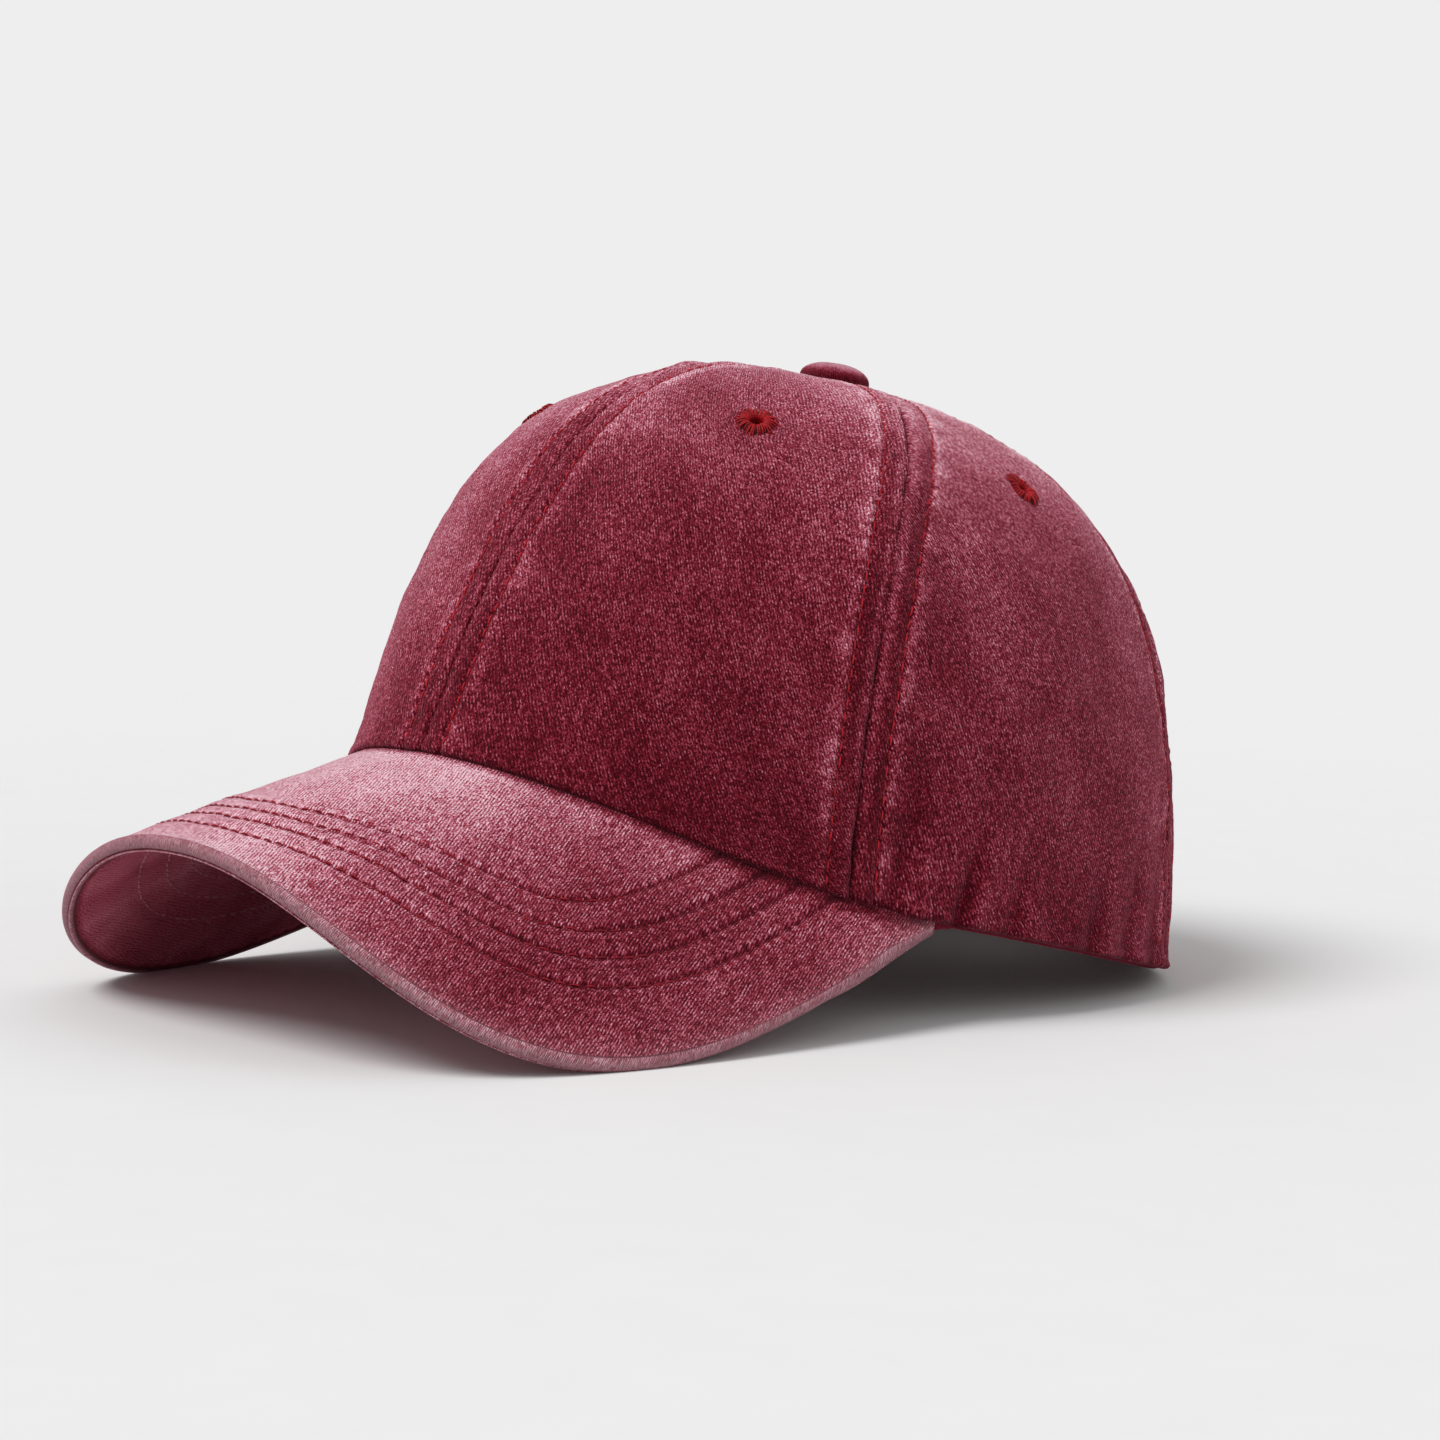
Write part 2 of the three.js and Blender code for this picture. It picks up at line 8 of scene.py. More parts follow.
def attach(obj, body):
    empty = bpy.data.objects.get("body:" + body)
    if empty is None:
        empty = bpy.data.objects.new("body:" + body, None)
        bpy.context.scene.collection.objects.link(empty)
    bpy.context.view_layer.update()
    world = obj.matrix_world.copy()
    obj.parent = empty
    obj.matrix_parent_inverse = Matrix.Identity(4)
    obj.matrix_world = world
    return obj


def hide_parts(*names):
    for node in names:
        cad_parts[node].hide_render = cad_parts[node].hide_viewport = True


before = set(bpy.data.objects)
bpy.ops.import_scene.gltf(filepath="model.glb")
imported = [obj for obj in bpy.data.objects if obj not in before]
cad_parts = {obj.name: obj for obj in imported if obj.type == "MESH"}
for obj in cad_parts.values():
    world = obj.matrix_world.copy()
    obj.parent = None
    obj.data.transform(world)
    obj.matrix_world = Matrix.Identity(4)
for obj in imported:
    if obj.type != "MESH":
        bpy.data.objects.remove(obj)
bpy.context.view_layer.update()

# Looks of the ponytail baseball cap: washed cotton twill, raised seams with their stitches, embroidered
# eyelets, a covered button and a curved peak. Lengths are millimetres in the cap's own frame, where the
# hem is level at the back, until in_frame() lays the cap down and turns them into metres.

rng = np.random.default_rng(7)
MM = 0.001

# A distance past the end of every table
FAR = 400

# Crown
HEM_LENGTH = 201.6
HEM_WIDTH = 170.2
HEM_EGG = 0.226
HEM_BLUNT = 0.051
CROWN_HEIGHT = 116.1
CROWN_TOP_BACK = 4.6
CLOTH_WALL = 1.6
FIT_GAP = 0.3
HEM_SAG = 2.9
HEM_SAG_ANGLE = math.radians(125)
SHANK_HOLE = 2.7
HALF_LENGTH = HEM_LENGTH / 2
HALF_WIDTH = HEM_WIDTH / 2

# Seams, in degrees round from the front
CENTRE_SEAM_AT_HEM = 3.6
FRONT_SEAM = (68.7, -13.3, 24.8)
BACK_SEAM = 128.5
SEAM_GAP = 0.04
STITCH_LINE = 5.6
FLANK_WIDTH = 6.2
STITCH_PITCH = 3.1

# Peak
PEAK_REACH = 56.6
PEAK_WIDTH = 167.8
PEAK_THICK = 3.6
PEAK_RISE = 13.7
PEAK_SLOPE = 0.477
PEAK_DROOP = 63.1
PEAK_DROOP_POWER = 2.15
PEAK_END = math.radians(80.35)
PEAK_FULL_SLANT = 4
PEAK_END_THICK = 0.9
PEAK_TAPER_FROM = 0.8
PEAK_RIM_ROUND = 1.5

# The cloth of the peak stops just short of its two ends, so that no face there shrinks to nothing
PEAK_TRIM = 0.994

# How much finer the weave runs along the binding of the rim
RIM_FIBRES = 1.9

# Sweatband, slit, strap, button and eyelets
BAND_HEIGHT = 29
BAND_THICK = 1.2
BAND_SHOWS = 0.5
BAND_HIDDEN = 0.8
BAND_GAP = 0.5
BAND_TURN_UP = 0.03
BAND_TUCK = (0.4, 0.8)
BAND_END_RADIUS = 85
SLIT_WIDTH = 48
SLIT_TOP = 100
STRAP_LENGTH = 92
STRAP_HEIGHT = 27
STRAP_THICK = 1.8
STRAP_LIFT = 1.5
STRAP_GAP = 0.7 + FIT_GAP
STRAP_INSET = 2.6
BUTTON_RADIUS = 8.2
BUTTON_HEIGHT = 5
EYELET_HOLE = 1.5
EYELET_RADIUS = 4.7
EYELET_BACK_RADIUS = 3.4
EYELET_OPENING = 2.6
EYELET_PULL = 16
EYELET_THREAD = 0.19

# Threads and grids
THREAD_RADIUS = 0.2
THREAD_SIDES = 6
THREAD_TWIST = 0.55
PANEL_PITCH = 0.72
COARSE = 4

# How the cap lies: tilted back, and moved so that the origin is under the middle of its box
REST_TILT = math.radians(12.3116)
REST_SHIFT = np.array([0.052, 19.979, 25.704])

# How the lines up the crown lean, rise and reach: at the front, at 60 and 120 degrees and at the back
MERIDIANS = {
    "lean": (-0.263, 0.079, -0.044, 0.011),
    "rise": (0.925, 0.516, 0.29, 0.558),
    "reach": (0.498, 0.918, 0.959, 0.842),
}

# Soft dents: degrees round, share of the way up, half widths in the same terms, share of crown height
DENTS = (
    (22, 0.72, 14, 0.13, 0.012),
    (-24, 0.74, 14, 0.13, 0.014),
    (97, 0.2, 12, 0.12, 0.01),
    (-92, 0.24, 14, 0.13, 0.01),
)

# Soft unevenness of the cloth: height of the lumps, their size, and a seed
CROWN_LUMPS = ((0.32, 26, 11), (0.12, 9, 12), (0.04, 3.4, 13))
PEAK_LUMPS = ((0.3, 34, 21), (0.1, 11, 22), (0.03, 3.6, 23))

# Shares of the peak's reach and width that shape its two curves
PEAK_OUTLINE = {
    "nose_handle": 0.639,
    "front_handle": 1.126,
    "widest_place": 0.662,
    "back_handle": 0.474,
    "end_handle": 0.34,
}


# Small tools

def smoothstep(low, high, value):
    share = np.clip((value - low) / (high - low), 0, 1)
    return share * share * (3 - 2 * share)


def bump_at(value, centre, width):
    return np.exp(-(((value - centre) / width) ** 2))


def soft_table(value, places, heights):
    """A smooth curve through table points, level at each."""
    value = np.asarray(value, float)
    index = np.clip(np.searchsorted(places, value, side="right") - 1, 0, len(places) - 2)
    low = np.take(places, index)
    high = np.take(places, index + 1)
    share = smoothstep(0, 1, (value - low) / (high - low))
    return np.take(heights, index) * (1 - share) + np.take(heights, index + 1) * share


def lumps(points, size, seed):
    """Smooth lumps of about the given size, from -1 to 1, the same on every run."""
    waves = np.random.default_rng(seed)
    total = np.zeros(points.shape[:-1])
    count = 9
    for _ in range(count):
        direction = waves.normal(size=3)
        direction /= np.linalg.norm(direction)
        length = size * waves.uniform(0.8, 1.6)
        total += np.sin(points @ direction * (2 * math.pi / length) + waves.uniform(0, 2 * math.pi))
    return total / math.sqrt(count)


def uneven(points, table):
    """Lumps of several sizes on top of each other."""
    return sum(height * lumps(points, size, seed) for height, size, seed in table)


def unit(vectors):
    return vectors / np.linalg.norm(vectors, axis=-1, keepdims=True)


def arc_lengths(points):
    """Distance travelled along the last but one axis, starting at zero."""
    steps = np.linalg.norm(np.diff(points, axis=-2), axis=-1)
    zero = np.zeros(steps.shape[:-1] + (1,))
    return np.concatenate([zero, np.cumsum(steps, axis=-1)], axis=-1)


def flat_place(across, up):
    """Place on the flat cloth, for the materials: across, up and nothing."""
    across, up = np.broadcast_arrays(across, up)
    return np.stack([across, up, 0 * across], -1)


def toward(azimuth, elevation):
    """A unit vector towards a place so many radians round from the front and up from level."""
    level = math.cos(elevation)
    return Vector((math.sin(azimuth) * level, -math.cos(azimuth) * level, math.sin(elevation)))


def in_frame(points):
    """Lays the cap down as the frame has it, in metres, pressed flat where it meets the floor."""
    x, y, z = np.moveaxis(points + REST_SHIFT, -1, 0)
    cos, sin = math.cos(REST_TILT), math.sin(REST_TILT)
    return np.stack([x, cos * y + sin * z, np.maximum(cos * z - sin * y, 0)], -1) * MM


# The crown's outside, as in the solids

def around_cap(column, angle):
    """A smooth curve round the cap through one row of MERIDIANS."""
    v = MERIDIANS[column]
    total = 0
    for k in range(4):
        ends = 0.5 * (v[0] + v[3] * (-1) ** k)
        weight = 1 / 3 if k in (0, 3) else 2 / 3
        wave = ends + v[1] * math.cos(k * math.pi / 3) + v[2] * math.cos(2 * k * math.pi / 3)
        total = total + weight * wave * np.cos(k * angle)
    return total


def ease(start, end, slope, share, span):
    begin = 2 * share**3 - 3 * share**2 + 1
    tangent = share**3 - 2 * share**2 + share
    return begin * start + (1 - begin) * end + tangent * slope * span


def hem_plan(angle):
    forward = np.cos(angle)
    x = HALF_WIDTH * np.sin(angle) * (1 - HEM_EGG * forward + HEM_BLUNT * forward * forward)
    return np.stack([x, -HALF_LENGTH * forward], -1)


def hem_outward(angle):
    step = 1e-4
    along = unit(hem_plan(angle + step) - hem_plan(angle - step))
    return np.stack([along[..., 1], -along[..., 0]], -1)


def peak_top(x, y):
    droop = PEAK_DROOP * np.abs(x / HALF_WIDTH) ** PEAK_DROOP_POWER
    return PEAK_RISE + PEAK_SLOPE * (y + HALF_LENGTH) - droop


def hem_height(angle):
    turn = np.abs(np.arctan2(np.sin(angle), np.cos(angle)))

    def on_peak(a):
        plan = hem_plan(a)
        return peak_top(plan[..., 0], plan[..., 1]) + FIT_GAP

    step = 1e-3
    end_height = on_peak(np.float64(PEAK_END))
    slope = (end_height - on_peak(np.float64(PEAK_END - step))) / step / 2
    span = HEM_SAG_ANGLE - PEAK_END
    side = ease(end_height, -HEM_SAG, slope, (turn - PEAK_END) / span, span)
    rest = math.pi - HEM_SAG_ANGLE
    back = ease(-HEM_SAG, 0, 0, (turn - HEM_SAG_ANGLE) / rest, rest)
    return np.where(turn <= PEAK_END, on_peak(turn), np.where(turn <= HEM_SAG_ANGLE, side, back))


def dent_depth(angle, share):
    turn = np.arctan2(np.sin(angle), np.cos(angle))
    total = 0
    for around, up, wide, tall, depth in DENTS:
        across = (turn - math.radians(around)) / math.radians(wide)
        height = (share - up) / tall
        total = total + depth * CROWN_HEIGHT * np.exp(-across * across - height * height)
    return total


def crown_point(angle, share):
    angle, share = np.broadcast_arrays(np.asarray(angle, float), np.asarray(share, float))
    outward = hem_plan(angle) - np.array([0, CROWN_TOP_BACK])
    distance = np.linalg.norm(outward, axis=-1)
    outward = outward / distance[..., None]
    hem_z = hem_height(angle)
    rise = CROWN_HEIGHT - hem_z
    back = 1 - share
    first, second, third = back**3, 3 * back * back * share, 3 * back * share * share
    radius = first * distance + second * (distance + around_cap("lean", angle) * HALF_WIDTH)
    radius = radius + third * around_cap("reach", angle) * distance - dent_depth(angle, share)
    height = first * hem_z + second * (hem_z + around_cap("rise", angle) * rise)
    height = height + (third + share**3) * CROWN_HEIGHT
    x = outward[..., 0] * radius
    return np.stack([x, CROWN_TOP_BACK + outward[..., 1] * radius, height], -1)


def crown_normal(angle, share):
    step = 1e-3
    low = np.maximum(share - step, 0)
    around = crown_point(angle + step, share) - crown_point(angle - step, share)
    up = crown_point(angle, low + 2 * step) - crown_point(angle, low)
    return unit(np.cross(around, up))


def level_normal(angle, share):
    """The crown's normal, turned level at the hem so that the hem stays even."""
    plan = hem_outward(angle)
    flat = np.concatenate([plan, np.zeros(plan.shape[:-1] + (1,))], -1)
    upward = smoothstep(0, 0.05, share)[..., None]
    return unit(flat * (1 - upward) + crown_normal(angle, share) * upward)


def share_at_height(angle, height):
    """Share of the way up a meridian at a height above its hem."""
    angle, height = np.broadcast_arrays(np.asarray(angle, float), np.asarray(height, float))
    low, high = np.zeros(angle.shape), np.ones(angle.shape)
    for _ in range(30):
        middle = (low + high) / 2
        below = crown_point(angle, middle)[..., 2] - hem_height(angle) < height
        low, high = np.where(below, middle, low), np.where(below, high, middle)
    return low


SLIT_TOP_SHARE = float(share_at_height(math.pi, SLIT_TOP))


def top_share(angle):
    distance = np.linalg.norm(hem_plan(angle) - np.array([0, CROWN_TOP_BACK]), axis=-1)
    return 1 - SHANK_HOLE / (3 * around_cap("reach", angle) * distance)


# Seams: the angle at a share of the way up, and how far a panel's edge stays off it

def centre_seam(share):
    return np.radians(CENTRE_SEAM_AT_HEM * (1 - share))


def front_seam(share):
    foot, swing, back = FRONT_SEAM
    return np.radians(foot + swing * share + back * share * share)


def back_seam(share):
    return np.radians(BACK_SEAM + 0 * share)


def back_centre(share):
    return math.pi + 0 * share


def shut(share):
    return SEAM_GAP + 0 * share


def slit_edge(share):
    up = np.minimum(share / SLIT_TOP_SHARE, 1)
    return np.maximum(SLIT_WIDTH / 2 * (1 - up * up), SEAM_GAP)


def gore(name, side, ahead, behind, eyelet, edge=shut):
    """A panel: its side, its seams nearer the front and nearer the back, and where its eyelet is."""
    word = "left" if side > 0 else "right"
    return {
        "name": f"{name}_{word}",
        "side": side,
        "ahead": ahead,
        "behind": behind,
        "edge": edge,
        "eyelet": (side * math.radians(eyelet[0]), eyelet[1]),
    }


def mirrored(seam, side):
    return lambda share: side * seam(share)


def side_gores(side):
    front, back, centre = (mirrored(seam, side) for seam in (front_seam, back_seam, back_centre))
    return [
        gore("front", side, centre_seam, front, (43.1, 0.569)),
        gore("side", side, front, back, (95.6, 0.686)),
        gore("back", side, back, centre, (151, 0.68), slit_edge),
    ]


GORES = side_gores(1) + side_gores(-1)

# Height of the cloth over a seam, by distance from it: a valley, a raised flank of folded allowance,
# the sunk stitch line and the small roll beyond it
SEAM_PLACES = (0.0, 0.35, 0.85, 1.7, 4.2, 5.6, 6.9, 9.0, 11.5)
SEAM_HEIGHTS = (-1.0, -0.35, 0.16, 0.4, 0.46, 0.1, 0.4, 0.12, 0.0)

# The step at the edge of the tape inside each seam, and the rolled edge of the hem by height
TAPE_PLACES = (0.0, 6.6, 7.2, 12.0)
TAPE_HEIGHTS = (0.0, 0.0, 0.35, 0.35)
HEM_PLACES = (0, 0.15, 0.4, 1.3, 3.6, FAR)
HEM_HEIGHTS = (-0.8, -0.35, 0.1, 0.55, 0, 0)

# Puckers over the hem: degrees round, half width in degrees, height in millimetres, depth
PUCKERS = (
    (73.5, 1.5, 26, 0.8),
    (77.5, 1.5, 14, -0.5),
    (82.7, 1.0, 16, 1.4),
    (85.2, 1.0, 12, -0.6),
    (90.2, 1.3, 13, 0.9),
    (93.6, 1.3, 11, -0.5),
    (104.0, 1.5, 16, 0.9),
    (107.6, 1.6, 15, -0.5),
    (112.5, 1.5, 21, 0.9),
    (116.5, 1.5, 18, -0.6),
    (121.0, 1.5, 19, 0.7),
)


def pucker_depth(angle, height):
    turn = np.degrees(np.arctan2(np.sin(angle), np.cos(angle)))
    turn = np.where(turn > 0, turn, -1.06 * turn)
    total = 0
    for around, wide, tall, depth in PUCKERS:
        lean = around + 0.05 * height
        total = total + depth * bump_at(turn, lean, wide) * np.exp(-((height / tall) ** 2))
    return total


def crown_ground(base, angle, up):
    """Soft unevenness and puckers, which the stitches follow too."""
    return uneven(base, CROWN_LUMPS) * smoothstep(0, 6, up) - pucker_depth(angle, up)


def seam_closed(base, angle, share):
    """Where the folds of a seam lie shut against each other, from 0 to 1."""
    low_front = bump_at(np.degrees(angle), 2, 16) * smoothstep(0.62, 0.2, share)
    return np.clip(smoothstep(-0.7, 1.1, lumps(base, 13, 16)) + low_front, 0, 1)


def stitch_count(length):
    return max(int(length / STITCH_PITCH), 1)


def stitch_phase(run):
    """Stitches counted along a line, from the distances travelled on it."""
    return run * (stitch_count(run[-1]) / run[-1])


def needle_beat(phase):
    """One at a needle hole, where the phase is whole, and nothing halfway between two."""
    return (0.5 + 0.5 * np.cos(2 * math.pi * phase)) ** 2


def front_light_and_wash(turn, share):
    """Painted light from the wearer's right on the front right panel and on the middle seam's top, and the
    paler wash behind the front seams.
    """
    total = 0.28 * smoothstep(10, -30, turn) * smoothstep(-120, -60, turn) * smoothstep(0.95, 0.55, share)
    total = total + 0.14 * bump_at(turn, 8, 15) * smoothstep(0.3, 0.7, share)
    return total + 0.05 * smoothstep(60, 80, np.abs(turn))


def shoulder_wash_and_shade(turn, share):
    """The paler ring where the crown bends over to its top, and painted shade in the darker places in it,
    behind the front seams and round the side eyelets.
    """
    total = (0.09 + 0.08 * bump_at(turn, 12, 16)) * bump_at(share, 0.47, 0.1)
    total = total + 0.05 * smoothstep(104, 122, np.abs(turn))
    total = total - 0.11 * bump_at(np.abs(turn), 73, 4) * bump_at(share, 0.4, 0.2)
    return total - 0.12 * bump_at(turn, 96, 22) * bump_at(share, 0.52, 0.15)


# Columns of a panel's grid beside a seam, by distance from it: the flank, then the stitches and the roll
FLANK_COLUMNS = (0, 0.22, 0.5, 0.8, 1.15, 1.6, 2.2, 3.0, 3.8, 4.5)
ROLL_COLUMNS = (5.0, 5.3, 5.6, 5.9, 6.25, 6.8, 7.6, 8.6, 9.8, 11.1)
HEM_ROWS = (0, 0.15, 0.4, 0.8, 1.3)


class PanelGrid:
    """The fine grid of one panel: rows from the hem to the button, columns from seam to seam."""

    def __init__(self, piece):
        self.piece = piece
        self.rows, self.up = self.row_places()
        self.angles, self.arcs = self.row_arcs()
        self.width = self.arcs[:, -1]
        self.at = self.column_places()
        self.angle = np.stack([np.interp(*row) for row in zip(self.at, self.arcs, self.angles)])
        self.share = self.rows[:, None] * top_share(self.angle)
        self.from_right = self.at
        self.from_left = self.width[:, None] - self.at
        self.squeeze = np.minimum(1, 0.4 * self.width / FLANK_WIDTH)[:, None]
        self.beats = [self.stitch_beat(from_right) for from_right in (True, False)]

    def row_places(self):
        """Share and distance of each row on the way up the panel's middle."""
        middle = 0.5 * (self.piece["ahead"](0.3) + self.piece["behind"](0.3))
        fine = np.linspace(0, 1, 600)
        length = arc_lengths(crown_point(middle, fine * top_share(np.float64(middle))))
        start = HEM_ROWS[-1] + PANEL_PITCH
        count = int((length[-1] - start) / PANEL_PITCH) + len(HEM_ROWS) + 1
        count = COARSE * math.ceil((count - 1) / COARSE) + 1
        places = np.concatenate([HEM_ROWS, np.linspace(start, length[-1], count - len(HEM_ROWS))])
        return np.interp(places, length, fine), places

    def row_arcs(self):
        """Angles and distances along each row, between its two edges."""
        share = self.rows
        side = self.piece["side"]
        start, end = self.piece["ahead"](share), self.piece["behind"](share)
        if side < 0:
            start, end = end, start
        across = np.linspace(0, 1, 121)
        angles = start[:, None] + (end - start)[:, None] * across
        arcs = arc_lengths(crown_point(angles, share[:, None]))
        near = SEAM_GAP + 0 * share
        far = self.piece["edge"](share)
        low, high = (near, far) if side > 0 else (far, near)
        total = arcs[:, -1]
        places = low[:, None] + (total - low - high)[:, None] * across
        inner = np.stack([np.interp(*row) for row in zip(places, arcs, angles)])
        return inner, arc_lengths(crown_point(inner, share[:, None]))

    def column_places(self):
        border = np.array(FLANK_COLUMNS + ROLL_COLUMNS)
        wide = self.width.max() - 2 * border[-1]
        middle = int(wide / PANEL_PITCH)
        total = 2 * (len(border) - 1) + middle
        middle += -total % COARSE
        squeeze = np.minimum(1, 0.46 * self.width / border[-1])[:, None]
        left = border * squeeze
        right = self.width[:, None] - left[:, ::-1]
        inner = left[:, -1:] + (right[:, :1] - left[:, -1:]) * np.linspace(0, 1, middle + 1)[1:-1]
        return np.concatenate([left, inner, right], axis=1)

    def stitch_line(self, from_right):
        """Angles and shares along a row of stitches, and which grid rows it runs over."""
        place = STITCH_LINE * self.squeeze[:, 0]
        at = place if from_right else self.width - place
        angle = np.array([np.interp(p, arc, a) for p, arc, a in zip(at, self.arcs, self.angles)])
        sewn = (self.up > 1.0) & (self.squeeze[:, 0] > 0.45)
        return angle, self.rows * top_share(angle), sewn

    def stitch_beat(self, from_right):
        angle, share, sewn = self.stitch_line(from_right)
        run = arc_lengths(crown_point(angle[sewn], share[sewn]))
        return needle_beat(np.interp(self.up, self.up[sewn], stitch_phase(run)))[:, None]

    def relief(self):
        """How far the cloth stands off the plain crown."""
        total = 0
        base = crown_point(self.angle, self.share)
        wavy = 1 + 0.35 * lumps(base, 8, 15)
        closed = seam_closed(base, self.angle, self.share)
        for distance, beat in zip((self.from_right, self.from_left), self.beats):
            eased = distance / self.squeeze
            total = total + self.squeeze * wavy * soft_table(eased, SEAM_PLACES, SEAM_HEIGHTS)
            total = total - 0.42 * self.squeeze * beat * bump_at(eased, STITCH_LINE, 0.8)
            total = total + 0.8 * self.squeeze * closed * bump_at(eased, 0, 0.5)
        hem = soft_table(self.up, HEM_PLACES, HEM_HEIGHTS)[:, None]
        return total + hem + crown_ground(base, self.angle, self.up[:, None])

    def outside(self):
        base = crown_point(self.angle, self.share)
        return base + level_normal(self.angle, self.share) * self.relief()[..., None]

    def inside(self):
        """The coarser inner face, with the tape over each seam a little proud."""
        angle, share = self.angle[::COARSE, ::COARSE], self.share[::COARSE, ::COARSE]
        tape = (np.minimum(self.from_left, self.from_right) / self.squeeze)[::COARSE, ::COARSE]
        depth = CLOTH_WALL + 0.35 - soft_table(tape, TAPE_PLACES, TAPE_HEIGHTS)
        return crown_point(angle, share) - level_normal(angle, share) * depth[..., None]

    def open_eyelet(self):
        """Moves the grid so that one block of cells round the eyelet becomes a round hole."""
        angle, share = self.piece["eyelet"]
        corners = crown_point(self.angle[::COARSE, ::COARSE], self.share[::COARSE, ::COARSE])
        centre = crown_point(angle, share)
        distance = np.linalg.norm(corners - centre, axis=-1)
        self.hole = np.unravel_index(distance.argmin(), distance.shape)
        row, column = (int(place) * COARSE for place in self.hole)
        points = crown_point(self.angle, self.share)
        away = np.linalg.norm(points - points[row, column], axis=-1)
        pull = np.exp(-((away / EYELET_PULL) ** 2))
        self.angle = self.angle + pull * (angle - self.angle[row, column])
        self.share = self.share + pull * (share - self.share[row, column])
        self.round_rings(row, column, centre)

    def round_rings(self, row, column, centre):
        """Turns the square rings of points round the eyelet's middle into circles, less so further out."""
        rows = np.abs(np.arange(self.angle.shape[0]) - row)[:, None]
        columns = np.abs(np.arange(self.angle.shape[1]) - column)[None, :]
        ring = np.maximum(rows, columns)
        points = crown_point(self.angle, self.share)
        around = (points[row, column + 2] - points[row, column - 2]) / 4
        up = (points[row + 2, column] - points[row - 2, column]) / 4
        local = points - centre
        x = local @ around / (around @ around)
        y = local @ up / (up @ up)
        reach = np.hypot(x * np.linalg.norm(around), y * np.linalg.norm(up))
        target = EYELET_OPENING * ring / COARSE
        blend = 1 - smoothstep(COARSE, 4 * COARSE, ring)
        scale = np.where(reach > 1e-6, 1 + blend * (target / np.maximum(reach, 1e-6) - 1), 1)
        angle_step = (self.angle[row, column + 2] - self.angle[row, column - 2]) / 4
        share_step = (self.share[row + 2, column] - self.share[row - 2, column]) / 4
        self.angle = self.angle + (scale - 1) * x * angle_step
        self.share = self.share + (scale - 1) * y * share_step

    def cells(self):
        """Which coarse cells are cloth, all but those of the eyelet's hole."""
        rows, columns = self.angle.shape
        kept = np.ones(((rows - 1) // COARSE, (columns - 1) // COARSE), bool)
        row, column = self.hole
        kept[row - 1 : row + 1, column - 1 : column + 1] = False
        return kept

    def seam_wash_and_shade(self, base, turn):
        """Worn rolls beside the seams, painted shade in the channels and valleys, and pale specks between
        needle holes.
        """
        near = np.minimum(self.from_left, self.from_right) / self.squeeze
        patches = lumps(base, 7, 14)
        total = (0.12 + 0.09 * patches) * bump_at(near, 7.8, 1.6)
        total = total + (0.08 + 0.09 * patches) * bump_at(near, 1.7, 0.6)
        # Painted shade in the channel between the valley and the stitches, deeper away from the front, and
        # painted shade in the valley, less where its folds lie shut
        sunk = 0.01 + 0.13 * smoothstep(18, 50, np.abs(turn)) * smoothstep(0.05, 0.3, self.share)
        sunk = sunk * (1 - 0.45 * smoothstep(0.5, 0.8, self.share))
        valley = 0.17 - 0.14 * seam_closed(base, self.angle, self.share)
        total = total - sunk * bump_at(near, 4.0, 1.8) - valley * bump_at(near, 0, 0.5)
        for distance, beat in zip((self.from_right, self.from_left), self.beats):
            total = total + 0.16 * (1 - beat) * bump_at(distance / self.squeeze, 6.7, 0.5)
        return total

    def fade(self):
        """How pale the cloth is, from 0 to 1: its wash together with painted light and shade."""
        base = crown_point(self.angle, self.share)
        turn = np.degrees(self.angle)
        # The foot is painted shade: darker low on the crown, partly less faded cloth, a dark line along the
        # hem where it meets the peak, and darker in the folds of the puckers
        foot = (-0.1 * (1 - smoothstep(2, 40, self.up)) - 0.2 * bump_at(self.up, 0, 0.6))[:, None]
        foot = foot - 0.13 * pucker_depth(self.angle, self.up[:, None])
        total = 0.31 + 0.46 * smoothstep(0.38, 0.96, self.share) + foot + self.seam_wash_and_shade(base, turn)
        return np.clip(total + front_light_and_wash(turn, self.share) + shoulder_wash_and_shade(turn, self.share), 0, 1)


# Meshes

def grid_faces(rows, columns, start, kept, flip):
    """Faces of a grid of points, for the cells that are kept."""
    index = start + np.arange(rows * columns).reshape(rows, columns)
    quads = np.stack([index[:-1, :-1], index[:-1, 1:], index[1:, 1:], index[1:, :-1]], -1)
    quads = quads[kept]
    return quads[:, ::-1] if flip else quads


def ring_faces(index):
    """Faces between each closed ring of points and the next, with one face over each end."""
    following = np.roll(index, -1, axis=-1)
    corners = [index[..., :-1, :], following[..., :-1, :], following[..., 1:, :], index[..., 1:, :]]
    faces = np.stack(corners, -1).reshape(-1, 4).tolist()
    for end in (index[..., 0, ::-1], index[..., -1, :]):
        faces += np.atleast_2d(end).tolist()
    return faces


def wall_faces(kept, step, fine_columns, coarse_start, coarse_columns):
    """Faces that join the fine sheet to the coarse one along each edge of the cloth."""
    faces = []
    rows, columns = kept.shape

    def cloth_at(row, column):
        return 0 <= row < rows and 0 <= column < columns and kept[row, column]

    def add(first, last, inside):
        (r0, c0), (r1, c1) = first, last
        count = step + 1
        line_rows = np.linspace(r0 * step, r1 * step, count).astype(int)
        line_columns = np.linspace(c0 * step, c1 * step, count).astype(int)
        fine = [int(r * fine_columns + c) for r, c in zip(line_rows, line_columns)]
        coarse = [coarse_start + r * coarse_columns + c for r, c in (last, first)]
        face = fine + coarse
        faces.append(face[::-1] if inside else face)

    for row in range(rows):
        for column in range(columns):
            if not kept[row, column]:
                continue
            if not cloth_at(row - 1, column):
                add((row, column), (row, column + 1), True)
            if not cloth_at(row + 1, column):
                add((row + 1, column), (row + 1, column + 1), False)
            if not cloth_at(row, column - 1):
                add((row, column), (row + 1, column), False)
            if not cloth_at(row, column + 1):
                add((row, column + 1), (row + 1, column + 1), True)
    return faces


